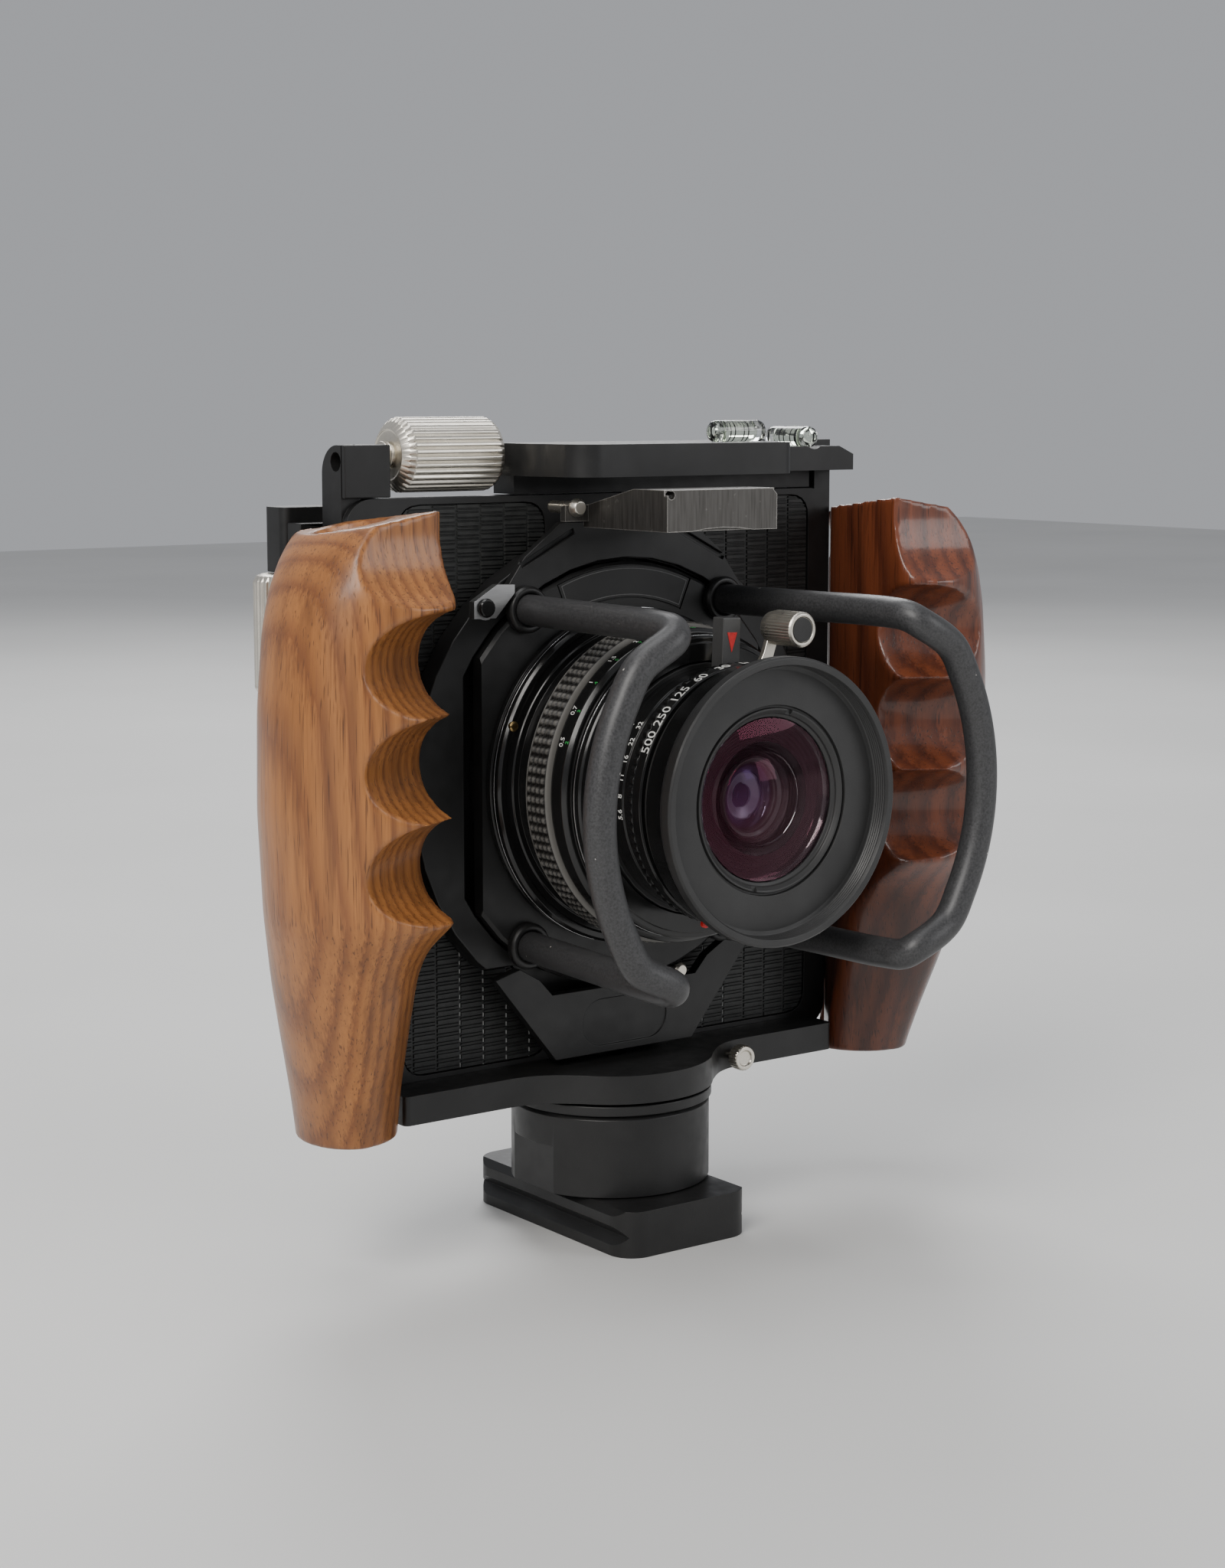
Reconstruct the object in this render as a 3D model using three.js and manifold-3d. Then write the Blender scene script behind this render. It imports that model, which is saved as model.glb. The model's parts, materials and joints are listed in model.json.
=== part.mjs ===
// A technical view camera: metal body with shift frames, lens on a helical mount, wooden grips.
// Millimetres, +Z up, the lens looks along -Y, the origin is the middle of the tripod foot's base.
import * as THREE from 'three';
import { mergeVertices } from 'three/addons/utils/BufferGeometryUtils.js';
import Module from 'manifold-3d';

const wasm = await Module();
wasm.setup();
const { Manifold, Mesh: SolidMesh } = wasm;

const GAP = 0.3;
const LENS_Z = 118.6;
const ROUND = 40;

const BODY = { halfWidth: 76.5, front: 3, back: 14, bottom: 41, top: 190, corner: 7 };
const EAR = { width: 5.5, top: 203, foot: 178, round: 7, setback: 2, holeRadius: 2.4, holeY: 7.5, holeZ: 199 };
const LIGHT_PATH = 37;
const LUG = { inner: 75, outer: 85, front: 9, low: 52, high: 68 };
const WINDOW = { inner: 18, outerLeft: 62, outerRight: 69, side: 22, sideX: 52, depth: 1.6, corner: 6.5 };
const WINDOW_UPPER = { edge: 69.8, slope: 49.4 };
const WINDOW_LOWER = { edge: 73, slope: 60.6 };
const RING_MOUNT = { outer: 62.5, opening: 55.2, flat: 47.6, front: -4, low: 72, high: 180 };
const PANEL = { radius: 54.5, halfWidth: 44, front: -6.4, back: -2.6, seat: 42, bore: 27 };
const NAME_PLATE = { inner: 45.4, outer: 53.4, spread: 0.4, thick: 0.4 };
const UPPER_CLIP = [[-40, 163], [-31, 175.2], [-20, 183.4], [20, 183.4], [31, 175.2], [40, 163]];
const LOWER_CLIP = [
  [-22, 46.4], [22, 46.4], [40.5, 69.5], [33, 71.5], [27, 68], [23, 63.6],
  [-23, 63.6], [-27, 68], [-33, 71.5], [-40.5, 69.5],
];
const FOOT = {
  length: 69, width: 41, height: 12, corner: 7, chamfer: 1.7, grooveLow: 2.8, grooveHigh: 7.8, grooveDepth: 2.4,
  columnRadius: 26, columnTop: 33.4, flat: 24.5, discTop: 36.6,
};
const PIVOT_BOLT = { headRadius: 5, headTop: 17.4, shank: 3, top: 40.4 };
const FOOT_SCREW = { y: 16, head: 4, shank: 2, top: 22.4 };
const BRIDGE = { halfWidth: 69, bottom: 37, top: 44.4, front: -9, back: 12.8, curveX: 21, curveY: 17 };
const TOP_BRIDGE = {
  left: -29, right: 81, bottom: 195, top: 203, front: -6, back: 14, bulgeFront: -24, step: 1.6,
};
const GUARD = {
  radius: 59, rod: 3.85, legX: 31, topZ: 162.3, lowZ: 77.5, back: -7, front: -76, centreZ: 119.6,
};
const FLANGE = { radius: 43, front: -11.8 };
const FOCUS = { radius: 40.6, back: -19.4, front: -28.4, scaleRadius: 39.4, scaleFront: -34.4 };
const HELICOID = {
  sleeveOuter: 37.2, sleeveInner: 35.4, barrelOuter: 35, barrelInner: 31.6, noseRadius: 37.8, noseFront: -39.2,
};
const SHUTTER = { radius: 30.2, back: -40.4, front: -55 };
const SPEED = { outer: 32.2, back: -50.2, front: -55.4 };
const BARREL = { rim: 35, bore: 32.6, front: -70.3, recess: -65.5, back: -55.8, seat: 22.7, glass: 19.8 };
const KNOB = { radius: 9.2, ribs: 32, ribDepth: 0.5 };
const SHIFT_KNOB = { x: -46.45, y: 8.5, z: 200.4, length: 29.5, collar: 3.4, shaft: 2 };
const RISE_KNOB = { x: -79, y: 25.6, z: 156.4, length: 30 };
const LOCK = { x: 34, z: 40.4, y: -9 };
const GRIP_SCREW = { x: 80.4, z: 60, radius: 1.9, headRadius: 3.4, headHeight: 1.3 };
const LATCH = { x: -44.6, z: 163.4 };
const VIAL_ACROSS = { x: 34.8, y: -8, z: 205.6, radius: 2.9, length: 17 };
const VIAL_ALONG = { x: 63.2, y: 3.5, z: 203.8, radius: 2.9, length: 17 };
const COCKING = {
  tilt: 0.334, back: -48.3, thick: 1.6, inner: 30.6, outer: 42.3, width: 4.4,
  tipRadius: 4.35, tipFront: -60, tipBack: -48.3,
};
const APERTURE = {
  tilt: 2.75, back: -42.6, thick: 1.2, inner: 30.6, outer: 36.4, width: 4,
  tipRadius: 2, tipFront: -46, tipBack: -42.6,
};
const RELEASE = {
  tilt: 1.75, back: -45.2, thick: 1.4, inner: 30.6, outer: 38.4, width: 5,
  tipRadius: 2.6, tipFront: -49.4, tipBack: -45.2,
};
const INDEX = { tilt: 0.037, halfWidth: 2.7, front: -48, back: -43.6, top: 42.8 };
const BRACKET = { halfWidth: 17, front: -46, back: -12, low: 182.4, high: 192.4, sheet: 1.3, archRadius: 60 };
const BRACKET_SCREW = { x: -21, z: 187.4, hole: 1.7 };
const CROSS = {
  halfWidth: 66, low: 47, high: 184, front: 16.2, back: 22.6, openX: 50, openLow: 56, openHigh: 181,
};
const RISE = { halfWidth: 46, low: 72, high: 165, front: 17.2, back: 28.4, open: 34 };

// ---------- helpers ----------

const finish = {
  anodised: [0x1c1d20, 0.45, 0.6],
  satin: [0x2b2c2e, 0.5, 0.5],
  sheet: [0x6d6964, 0.4, 0.8],
  silver: [0xcfc9bd, 0.3, 1.0],
  rubber: [0x2a2523, 0.8, 0.0],
  wood: [0xa8703f, 0.45, 0.0],
  rod: [0x4a4b4d, 0.5, 0.7],
  glass: [0x3a1f3a, 0.05, 0.0],
  vial: [0xdfe6d6, 0.08, 0.0],
  blade: [0x101012, 0.6, 0.5],
  grey: [0x6d6f72, 0.5, 0.2],
};

function named(name, geometry, look) {
  const [color, roughness, metalness] = look;
  const material = new THREE.MeshStandardMaterial({ color, roughness, metalness });
  const mesh = new THREE.Mesh(geometry, material);
  mesh.name = name;
  return mesh;
}

function solid(geometry) {
  const plain = geometry.clone();
  plain.deleteAttribute('normal');
  plain.deleteAttribute('uv');
  const merged = mergeVertices(plain, 1e-4);
  const numProp = 3;
  const vertProperties = new Float32Array(merged.attributes.position.array);
  const triVerts = new Uint32Array(merged.index.array);
  return new Manifold(new SolidMesh({ numProp, vertProperties, triVerts }));
}

function geometryOf(body) {
  const mesh = body.getMesh();
  const geometry = new THREE.BufferGeometry();
  geometry.setAttribute('position', new THREE.BufferAttribute(mesh.vertProperties, 3));
  geometry.setIndex(new THREE.BufferAttribute(mesh.triVerts, 1));
  const flat = geometry.toNonIndexed();
  flat.computeVertexNormals();
  return flat;
}

function join(...geometries) {
  return geometryOf(geometries.map(solid).reduce((a, b) => a.add(b)));
}

function cut(base, ...tools) {
  return geometryOf(tools.map(solid).reduce((a, b) => a.subtract(b), solid(base)));
}

function common(a, b) {
  return geometryOf(solid(a).intersect(solid(b)));
}

function box(x0, x1, y0, y1, z0, z1) {
  const geometry = new THREE.BoxGeometry(x1 - x0, y1 - y0, z1 - z0);
  return geometry.translate((x0 + x1) / 2, (y0 + y1) / 2, (z0 + z1) / 2);
}

// A profile of [radius, height] points turned about the Y axis through (x, z).
function turnedY(profile, segments = ROUND, x = 0, z = LENS_Z) {
  const points = profile.map(([r, y]) => new THREE.Vector2(r, y));
  return new THREE.LatheGeometry(points, segments).translate(x, 0, z);
}

function turnedZ(profile, segments = 32, x = 0, y = 0) {
  const points = profile.map(([r, h]) => new THREE.Vector2(r, h));
  return new THREE.LatheGeometry(points, segments).rotateX(Math.PI / 2).translate(x, y, 0);
}

function turnedX(profile, segments = 32, y = 0, z = 0) {
  const points = profile.map(([r, h]) => new THREE.Vector2(r, h));
  return new THREE.LatheGeometry(points, segments).rotateZ(-Math.PI / 2).translate(0, y, z);
}

function rod(radius, low, high) {
  return [[0, low], [radius, low], [radius, high], [0, high]];
}

function tube(inner, outer, low, high) {
  return [[inner, low], [outer, low], [outer, high], [inner, high], [inner, low]];
}

// A shape drawn in (x, z) and given thickness from y0 back to y1.
function plateXZ(shape, y0, y1, curveSegments = 10) {
  const geometry = new THREE.ExtrudeGeometry(shape, { depth: y1 - y0, bevelEnabled: false, curveSegments });
  return geometry.rotateX(Math.PI / 2).translate(0, y1, 0);
}

// A shape drawn in (x, y) and given height from z0 up to z1.
function plateXY(shape, z0, z1, curveSegments = 10) {
  const geometry = new THREE.ExtrudeGeometry(shape, { depth: z1 - z0, bevelEnabled: false, curveSegments });
  return geometry.translate(0, 0, z0);
}

// A shape drawn in (y, z) and given length from x0 to x1.
function acrossX(shape, x0, x1, curveSegments = 6) {
  const geometry = new THREE.ExtrudeGeometry(shape, { depth: x1 - x0, bevelEnabled: false, curveSegments });
  return geometry.applyMatrix4(new THREE.Matrix4().set(0, 0, 1, x0, 1, 0, 0, 0, 0, 1, 0, 0, 0, 0, 0, 1));
}

function roundedRect(x0, x1, z0, z1, r) {
  const shape = new THREE.Shape();
  shape.moveTo(x0 + r, z0);
  shape.lineTo(x1 - r, z0);
  shape.absarc(x1 - r, z0 + r, r, -Math.PI / 2, 0);
  shape.lineTo(x1, z1 - r);
  shape.absarc(x1 - r, z1 - r, r, 0, Math.PI / 2);
  shape.lineTo(x0 + r, z1);
  shape.absarc(x0 + r, z1 - r, r, Math.PI / 2, Math.PI);
  shape.lineTo(x0, z0 + r);
  shape.absarc(x0 + r, z0 + r, r, Math.PI, 1.5 * Math.PI);
  return shape;
}

function oval(a, b, sides) {
  const points = [];
  for (let i = 0; i < sides; i += 1) {
    const angle = (2 * Math.PI * i) / sides;
    points.push(new THREE.Vector2(a * Math.cos(angle), b * Math.sin(angle)));
  }
  return new THREE.Shape(points);
}

function polygon(points) {
  return new THREE.Shape(points.map(([a, b]) => new THREE.Vector2(a, b)));
}

function mirrored(geometry) {
  const copy = geometry.clone().applyMatrix4(new THREE.Matrix4().makeScale(-1, 1, 1));
  const position = copy.attributes.position;
  const indices = copy.index ? Array.from(copy.index.array) : [...Array(position.count).keys()];
  for (let i = 0; i < indices.length; i += 3) {
    [indices[i + 1], indices[i + 2]] = [indices[i + 2], indices[i + 1]];
  }
  copy.setIndex(indices);
  copy.computeVertexNormals();
  return copy;
}

// Values between listed heights, in straight lines.
function between(stops, z) {
  const last = stops.length - 1;
  if (z <= stops[0][0]) return stops[0][1];
  if (z >= stops[last][0]) return stops[last][1];
  const i = stops.findIndex(([height]) => height > z);
  const [z0, v0] = stops[i - 1];
  const [z1, v1] = stops[i];
  return v0 + ((v1 - v0) * (z - z0)) / (z1 - z0);
}

// Closed rings of equal point counts, joined into one skin with flat ends.
function loft(rings) {
  const n = rings[0].length;
  const positions = rings.flat().flatMap((p) => [p.x, p.y, p.z]);
  const index = [];
  for (let k = 0; k + 1 < rings.length; k += 1) {
    for (let i = 0; i < n; i += 1) {
      const a = k * n + i;
      const b = k * n + ((i + 1) % n);
      index.push(a, b, b + n, a, b + n, a + n);
    }
  }
  const outline = (ring) => ring.map((p) => new THREE.Vector2(p.x, p.y));
  const lastStart = (rings.length - 1) * n;
  for (const [a, b, c] of THREE.ShapeUtils.triangulateShape(outline(rings[0]), [])) {
    index.push(a, c, b);
  }
  for (const [a, b, c] of THREE.ShapeUtils.triangulateShape(outline(rings[rings.length - 1]), [])) {
    index.push(lastStart + a, lastStart + b, lastStart + c);
  }
  const geometry = new THREE.BufferGeometry();
  geometry.setAttribute('position', new THREE.Float32BufferAttribute(positions, 3));
  geometry.setIndex(index);
  return geometry;
}

// ---------- body ----------

// A polygon whose corners are curves that start and end `radius` away from each corner.
function roundedPolygon(points, radius) {
  const corners = points.map(([a, b]) => new THREE.Vector2(a, b));
  const shape = new THREE.Shape();
  corners.forEach((corner, i) => {
    const before = corners[(i + corners.length - 1) % corners.length];
    const after = corners[(i + 1) % corners.length];
    const start = corner.clone().lerp(before, Math.min(0.45, radius / corner.distanceTo(before)));
    const end = corner.clone().lerp(after, Math.min(0.45, radius / corner.distanceTo(after)));
    if (i === 0) shape.moveTo(start.x, start.y);
    else shape.lineTo(start.x, start.y);
    shape.quadraticCurveTo(corner.x, corner.y, end.x, end.y);
  });
  return shape;
}

// One of the four recessed windows in the body's front, made smaller all round by `inset`.
function cornerWindow(side, upper, inset, y0, y1) {
  const { inner, outerLeft, outerRight, side: reach, sideX, corner } = WINDOW;
  const outer = side < 0 ? outerLeft : outerRight;
  const { edge, slope } = upper ? WINDOW_UPPER : WINDOW_LOWER;
  const corners = [
    [inner + inset, edge - inset], [outer - inset, edge - inset], [outer - inset, reach + inset],
    [sideX, reach + inset], [inner + inset, slope + inset],
  ];
  const up = upper ? 1 : -1;
  const points = corners.map(([x, height]) => [side * x, LENS_Z + up * height]);
  return plateXZ(roundedPolygon(points, corner), y0, y1, 5);
}

function bodyPlate() {
  const { halfWidth, front, back, bottom, top, corner } = BODY;
  let plate = plateXZ(roundedRect(-halfWidth, halfWidth, bottom, top, corner), front, back, 4);
  const ears = [-1, 1].map((side) => {
    const x0 = side < 0 ? -halfWidth : halfWidth - EAR.width;
    const earFront = side < 0 ? front + EAR.setback : front;
    const shape = new THREE.Shape();
    shape.moveTo(earFront, EAR.foot);
    shape.lineTo(back, EAR.foot);
    shape.lineTo(back, EAR.top - EAR.round);
    shape.absarc(back - EAR.round, EAR.top - EAR.round, EAR.round, 0, Math.PI / 2);
    shape.lineTo(earFront, EAR.top);
    return acrossX(shape, x0, x0 + EAR.width);
  });
  const lugs = [-1, 1].map((side) => {
    const ends = [side * LUG.inner, side * LUG.outer];
    return box(Math.min(...ends), Math.max(...ends), LUG.front, back, LUG.low, LUG.high);
  });
  plate = join(plate, ...ears, ...lugs);
  const holes = [-1, 1].map((side) => {
    const middle = side * (halfWidth - EAR.width / 2);
    const length = EAR.width + 2;
    return turnedX(rod(EAR.holeRadius, middle - length / 2, middle + length / 2), 12, EAR.holeY, EAR.holeZ);
  });
  const lightPath = turnedY(rod(LIGHT_PATH, front - 1, back + 1), ROUND);
  const windows = [];
  for (const side of [-1, 1]) {
    for (const upper of [true, false]) {
      windows.push(cornerWindow(side, upper, 0, front - 1, front + WINDOW.depth));
    }
  }
  const screwHoles = [-1, 1].map((side) => {
    const { x, z, radius } = GRIP_SCREW;
    return turnedY(rod(radius + GAP, LUG.front - 1, back + 1), 16, side * x, z);
  });
  return cut(plate, lightPath, ...holes, ...windows, ...screwHoles);
}

function insert(side, upper) {
  return cornerWindow(side, upper, GAP, BODY.front + 0.5, BODY.front + WINDOW.depth - GAP);
}

function bottomBridge() {
  const { halfWidth, bottom, top, front, back, curveX, curveY } = BRIDGE;
  const shape = new THREE.Shape();
  shape.moveTo(-halfWidth + 3, back);
  shape.lineTo(-halfWidth, back - 3);
  shape.lineTo(-halfWidth, front + 1.5);
  shape.absarc(-halfWidth + 1.5, front + 1.5, 1.5, Math.PI, 1.5 * Math.PI);
  shape.lineTo(-38, front);
  shape.bezierCurveTo(-29, front, -26, -12.6, -curveX, -curveY);
  const start = Math.atan2(curveY, curveX);
  shape.absarc(0, 0, Math.hypot(curveX, curveY), Math.PI + start, 2 * Math.PI - start);
  shape.bezierCurveTo(26, -12.6, 29, front, 38, front);
  shape.lineTo(halfWidth - 1.5, front);
  shape.absarc(halfWidth - 1.5, front + 1.5, 1.5, -Math.PI / 2, 0);
  shape.lineTo(halfWidth, back - 3);
  shape.lineTo(halfWidth - 3, back);
  const plate = plateXY(shape, bottom, top, 12);
  const rebate = box(-BODY.halfWidth - 1, BODY.halfWidth + 1, BODY.front - GAP, 40, BODY.bottom - GAP, top + 1);
  const bore = turnedZ(rod(4.3, bottom - 1, top + 1), 20);
  const screwHole = turnedY(rod(1.6, -30, 10), 12, LOCK.x, LOCK.z);
  return cut(plate, rebate, bore, screwHole);
}

function topBridge() {
  const { left, right, bottom, top, front, back, bulgeFront } = TOP_BRIDGE;
  const shape = new THREE.Shape();
  shape.moveTo(left, back);
  shape.lineTo(left, front);
  shape.bezierCurveTo(left + 4, -12, left - 1, bulgeFront + 2, left + 9, bulgeFront);
  shape.lineTo(38, bulgeFront);
  shape.absarc(38, bulgeFront + 3.5, 3.5, -Math.PI / 2, 0);
  shape.lineTo(42.5, -14);
  shape.lineTo(50, front);
  shape.lineTo(right - 4, front);
  shape.lineTo(right, front + 5);
  shape.lineTo(right, back);
  const plate = plateXY(shape, bottom, top, 8);
  const seat = box(46, right + 1, front - 1, back - 3, top - TOP_BRIDGE.step, top + 1);
  const earInner = BODY.halfWidth - EAR.width;
  const ear = box(earInner - GAP, right + 1, BODY.front - GAP, back + 1, bottom - 1, top + 1);
  const foot = box(left + 2, earInner - 1, BODY.front + 1, back - 1, BODY.top + GAP, bottom + 1);
  const endSlope = plateXZ(polygon([
    [right - 9, top - TOP_BRIDGE.step], [right + 1, top - 6], [right + 1, top + 1], [right - 9, top + 1],
  ]), front - 1, back + 1);
  const vialAlongSeat = turnedY(rod(VIAL_ALONG.radius + GAP, -20, 30), 20, VIAL_ALONG.x, VIAL_ALONG.z);
  const vialAcrossSeat = turnedX(rod(VIAL_ACROSS.radius + GAP, 10, 60), 20, VIAL_ACROSS.y, VIAL_ACROSS.z);
  return cut(join(plate, foot), seat, ear, endSlope, vialAlongSeat, vialAcrossSeat);
}

function shiftKnobBlock() {
  const { x, y, z, length, shaft } = SHIFT_KNOB;
  const right = x - length / 2 - 2.4;
  const earInner = -BODY.halfWidth + EAR.width + 0.4;
  const front = BODY.front + 0.2;
  const low = BODY.top + GAP;
  const block = box(earInner, right, front, BODY.back - 0.2, low, EAR.top);
  const face = box(-BODY.halfWidth, right, front, BODY.front + EAR.setback - GAP, low, EAR.top);
  const bore = turnedX(rod(shaft + 0.4, -80, -50), 16, y, z);
  return cut(join(block, face), bore);
}

function ringMount() {
  const { outer, opening, flat, front, low, high } = RING_MOUNT;
  const disc = turnedY(rod(outer, front, BODY.front - GAP), ROUND);
  const keep = box(-70, 70, front - 1, BODY.front, low, high);
  const hole = turnedY(rod(opening, front - 1, BODY.front + 1), ROUND);
  const holeSides = box(-flat, flat, front - 2, BODY.front + 2, 0, 240);
  return cut(common(disc, keep), common(hole, holeSides));
}

function upperClip() {
  const { front } = RING_MOUNT;
  const plate = plateXZ(polygon(UPPER_CLIP), front - 2.6, front - GAP);
  const underside = turnedY(rod(55.6, front - 4, front + 1), ROUND);
  const slots = [-1, 1].map((side) => {
    const angle = side * 0.47;
    return box(-9, 9, front - 5, front - 1.4, -0.7, 0.7)
      .rotateY(angle)
      .translate(side * 24, 0, LENS_Z + 58.6);
  });
  return cut(plate, underside, ...slots);
}

function lensPanel() {
  const { radius, halfWidth, front, back, seat, bore } = PANEL;
  const seatBack = BODY.front - GAP;
  const profile = [[bore, front], [radius - 0.8, front], [radius, front + 0.8], [radius, back], [seat, back]];
  profile.push([seat, seatBack], [bore, seatBack], [bore, front]);
  const disc = turnedY(profile);
  const keep = box(-halfWidth, halfWidth, front - 1, seatBack + 1, 60, 180);
  const panel = common(disc, keep);
  const hubs = [];
  for (const side of [-1, 1]) {
    for (const z of [GUARD.topZ, GUARD.lowZ]) {
      hubs.push(turnedY(rod(2.2, front - 2, back + 1), 16, side * GUARD.legX, z));
    }
  }
  const { inner, outer, spread, thick } = NAME_PLATE;
  const plateSeat = arcPlate(inner - GAP, outer + GAP, spread + 0.007, front - 1, front + thick + 0.1);
  return cut(panel, ...hubs, plateSeat);
}

// A flat arc centred above the lens axis.
function arcPlate(inner, outer, spread, y0, y1) {
  const shape = new THREE.Shape();
  shape.absarc(0, LENS_Z, outer, Math.PI / 2 - spread, Math.PI / 2 + spread);
  shape.absarc(0, LENS_Z, inner, Math.PI / 2 + spread, Math.PI / 2 - spread, true);
  return plateXZ(shape, y0, y1, 16);
}

function namePlate() {
  const { inner, outer, spread, thick } = NAME_PLATE;
  return arcPlate(inner, outer, spread, PANEL.front, PANEL.front + thick);
}

function lowerClip() {
  const plate = plateXZ(polygon(LOWER_CLIP), -6.6, -3.6);
  const recess = plateXZ(roundedRect(-13.5, 13.5, 48.4, 60.6, 6), -8, -6.2, 8);
  return cut(plate, recess);
}

function guardBar(side) {
  const { radius, rod: r, legX, topZ, lowZ, back, front, centreZ } = GUARD;
  const arcHalf = 0.78;
  const point = (x, y, z) => new THREE.Vector3(side * x, y, z);
  const points = [point(legX, back, topZ), point(legX + 2.6, -40, topZ), point(legX + 4.6, front + 9, topZ)];
  points.push(point(legX + 5.2, front + 3, topZ - 0.6), point(legX + 7, front + 0.4, topZ - 2.2));
  for (let i = 1; i < 10; i += 1) {
    const angle = arcHalf - (2 * arcHalf * i) / 10;
    points.push(point(radius * Math.cos(angle), front, centreZ + radius * Math.sin(angle)));
  }
  points.push(point(legX + 7, front + 0.4, lowZ + 2.4), point(legX + 5.2, front + 3, lowZ + 0.6));
  points.push(point(legX + 4.6, front + 9, lowZ), point(legX + 2.6, -40, lowZ), point(legX, back, lowZ));
  const curve = new THREE.CatmullRomCurve3(points, false, 'centripetal');
  return new THREE.ExtrudeGeometry(oval(r, r, 10), { extrudePath: curve, steps: 52, bevelEnabled: false });
}

// A folded sheet cover above the lens, open at the rear and fixed by a tab at its left.
function accessoryBracket() {
  const { halfWidth, front, back, low, high, sheet, archRadius } = BRACKET;
  const outer = box(-halfWidth, halfWidth, front, back, low, high);
  const hollow = box(-halfWidth + sheet, halfWidth - sheet, front + sheet, back + 2, low + sheet, high - sheet);
  const arch = turnedY(rod(archRadius, front - 4, front + sheet), 72, 0, low + 0.8 - archRadius);
  const wall = box(-24, halfWidth, back - 2, back, 184, high);
  const slope = [[front + 13, high + 0.1], [back + 1, high - 5], [back + 1, high + 1], [front + 13, high + 1]];
  const rearCut = acrossX(polygon(slope), -30, 30);
  const hole = turnedY(rod(BRACKET_SCREW.hole, back - 12, back + 4), 12, BRACKET_SCREW.x, BRACKET_SCREW.z);
  return cut(join(outer, wall), hollow, arch, rearCut, hole);
}

function screwY(x, z, y0, headRadius, headHeight, shankRadius, shankLength) {
  const profile = [[0, y0], [headRadius * 0.7, y0], [headRadius, y0 + headHeight * 0.5]];
  profile.push([headRadius, y0 + headHeight], [shankRadius, y0 + headHeight]);
  profile.push([shankRadius, y0 + headHeight + shankLength], [0, y0 + headHeight + shankLength]);
  return turnedY(profile, 16, x, z);
}

// ---------- grips ----------

const GRIP_REACH = [
  [36, 94.5], [48, 97], [62, 100.5], [77, 104], [93, 107], [118, 108.3], [142, 107.8], [160, 106],
  [170, 103.6], [178, 99.6], [184, 94], [188.4, 87],
];
const GRIP_INNER_FRONT = [
  [36, -9.7], [48, -11.7], [62, -15.5], [77, -19.9], [84, -24.5], [88.5, -31], [93, -37.8], [100, -38.6],
  [188.4, -37.6],
];
const GRIP_OUTER_FRONT = [[36, -19], [48, -23], [62, -28], [77, -33], [84, -36], [93, -39.4], [188.4, -39.4]];
const GRIP_HEIGHTS = [36, 37.2, 48, 62, 77, 84, 88.5, 93, 100, 118, 142, 160, 170, 178, 184, 188.4];
const GRIP_INSIDE = 70;
const GRIP_REAR_INSIDE = 76.2;
const GRIP_TOP = { x: 76.7, y: -37.6, z: 188.2, slopeX: 0.17, slopeY: 0.08 };
const THUMB_HOLLOW = { x: 86, y: -12, z: 188, radiusX: 10, radiusY: 11, radiusZ: 7.5 };
const RIDGES = { first: 165.4, pitch: 24.2, count: 3, halfHeight: 12.7, depth: 16 };

function gripRing(z) {
  const reach = between(GRIP_REACH, z);
  const innerFront = between(GRIP_INNER_FRONT, z);
  const outerFront = between(GRIP_OUTER_FRONT, z);
  const rear = BODY.back - 0.4;
  const squeeze = (rear - outerFront) / (rear + 39.4);
  const at = (y) => outerFront + (y + 39.4) * squeeze;
  const edge = BODY.halfWidth + GAP;
  const out = (x) => GRIP_INSIDE + ((x - GRIP_INSIDE) * (reach - GRIP_INSIDE)) / 38.3;
  const skin = [
    [GRIP_INSIDE, innerFront + 4.5], [GRIP_INSIDE + 1.4, innerFront + 0.8],
    [out(78), innerFront * 0.7 + outerFront * 0.3 - 1],
    [out(85.5), innerFront * 0.35 + outerFront * 0.65 - 0.6], [out(97), at(-36.4)], [out(105.4), at(-28.8)],
    [reach, at(-17)], [out(105.9), at(-4)], [out(99.4), at(5)], [out(89), at(10.8)], [edge, rear],
  ];
  const places = skin.map(([x, y]) => new THREE.Vector3(x, y, z));
  const curve = new THREE.CatmullRomCurve3(places, false, 'centripetal');
  const ring = curve.getPoints(22);
  const face = BODY.front - GAP;
  ring.push(new THREE.Vector3(edge, face, z), new THREE.Vector3(GRIP_REAR_INSIDE, face, z));
  return ring;
}

function ellipticTube(route, z, halfHeight, depth) {
  const section = oval(halfHeight, depth, 36);
  const length = Math.hypot(route[1][0] - route[0][0], route[1][1] - route[0][1]);
  const geometry = new THREE.ExtrudeGeometry(section, { depth: length, bevelEnabled: false, curveSegments: 9 });
  const along = new THREE.Vector3(route[1][0] - route[0][0], route[1][1] - route[0][1], 0).normalize();
  const up = new THREE.Vector3(0, 0, 1);
  const across = new THREE.Vector3().crossVectors(along, up);
  geometry.applyMatrix4(new THREE.Matrix4().makeBasis(up, across, along));
  return geometry.translate(route[0][0], route[0][1], z);
}

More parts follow.
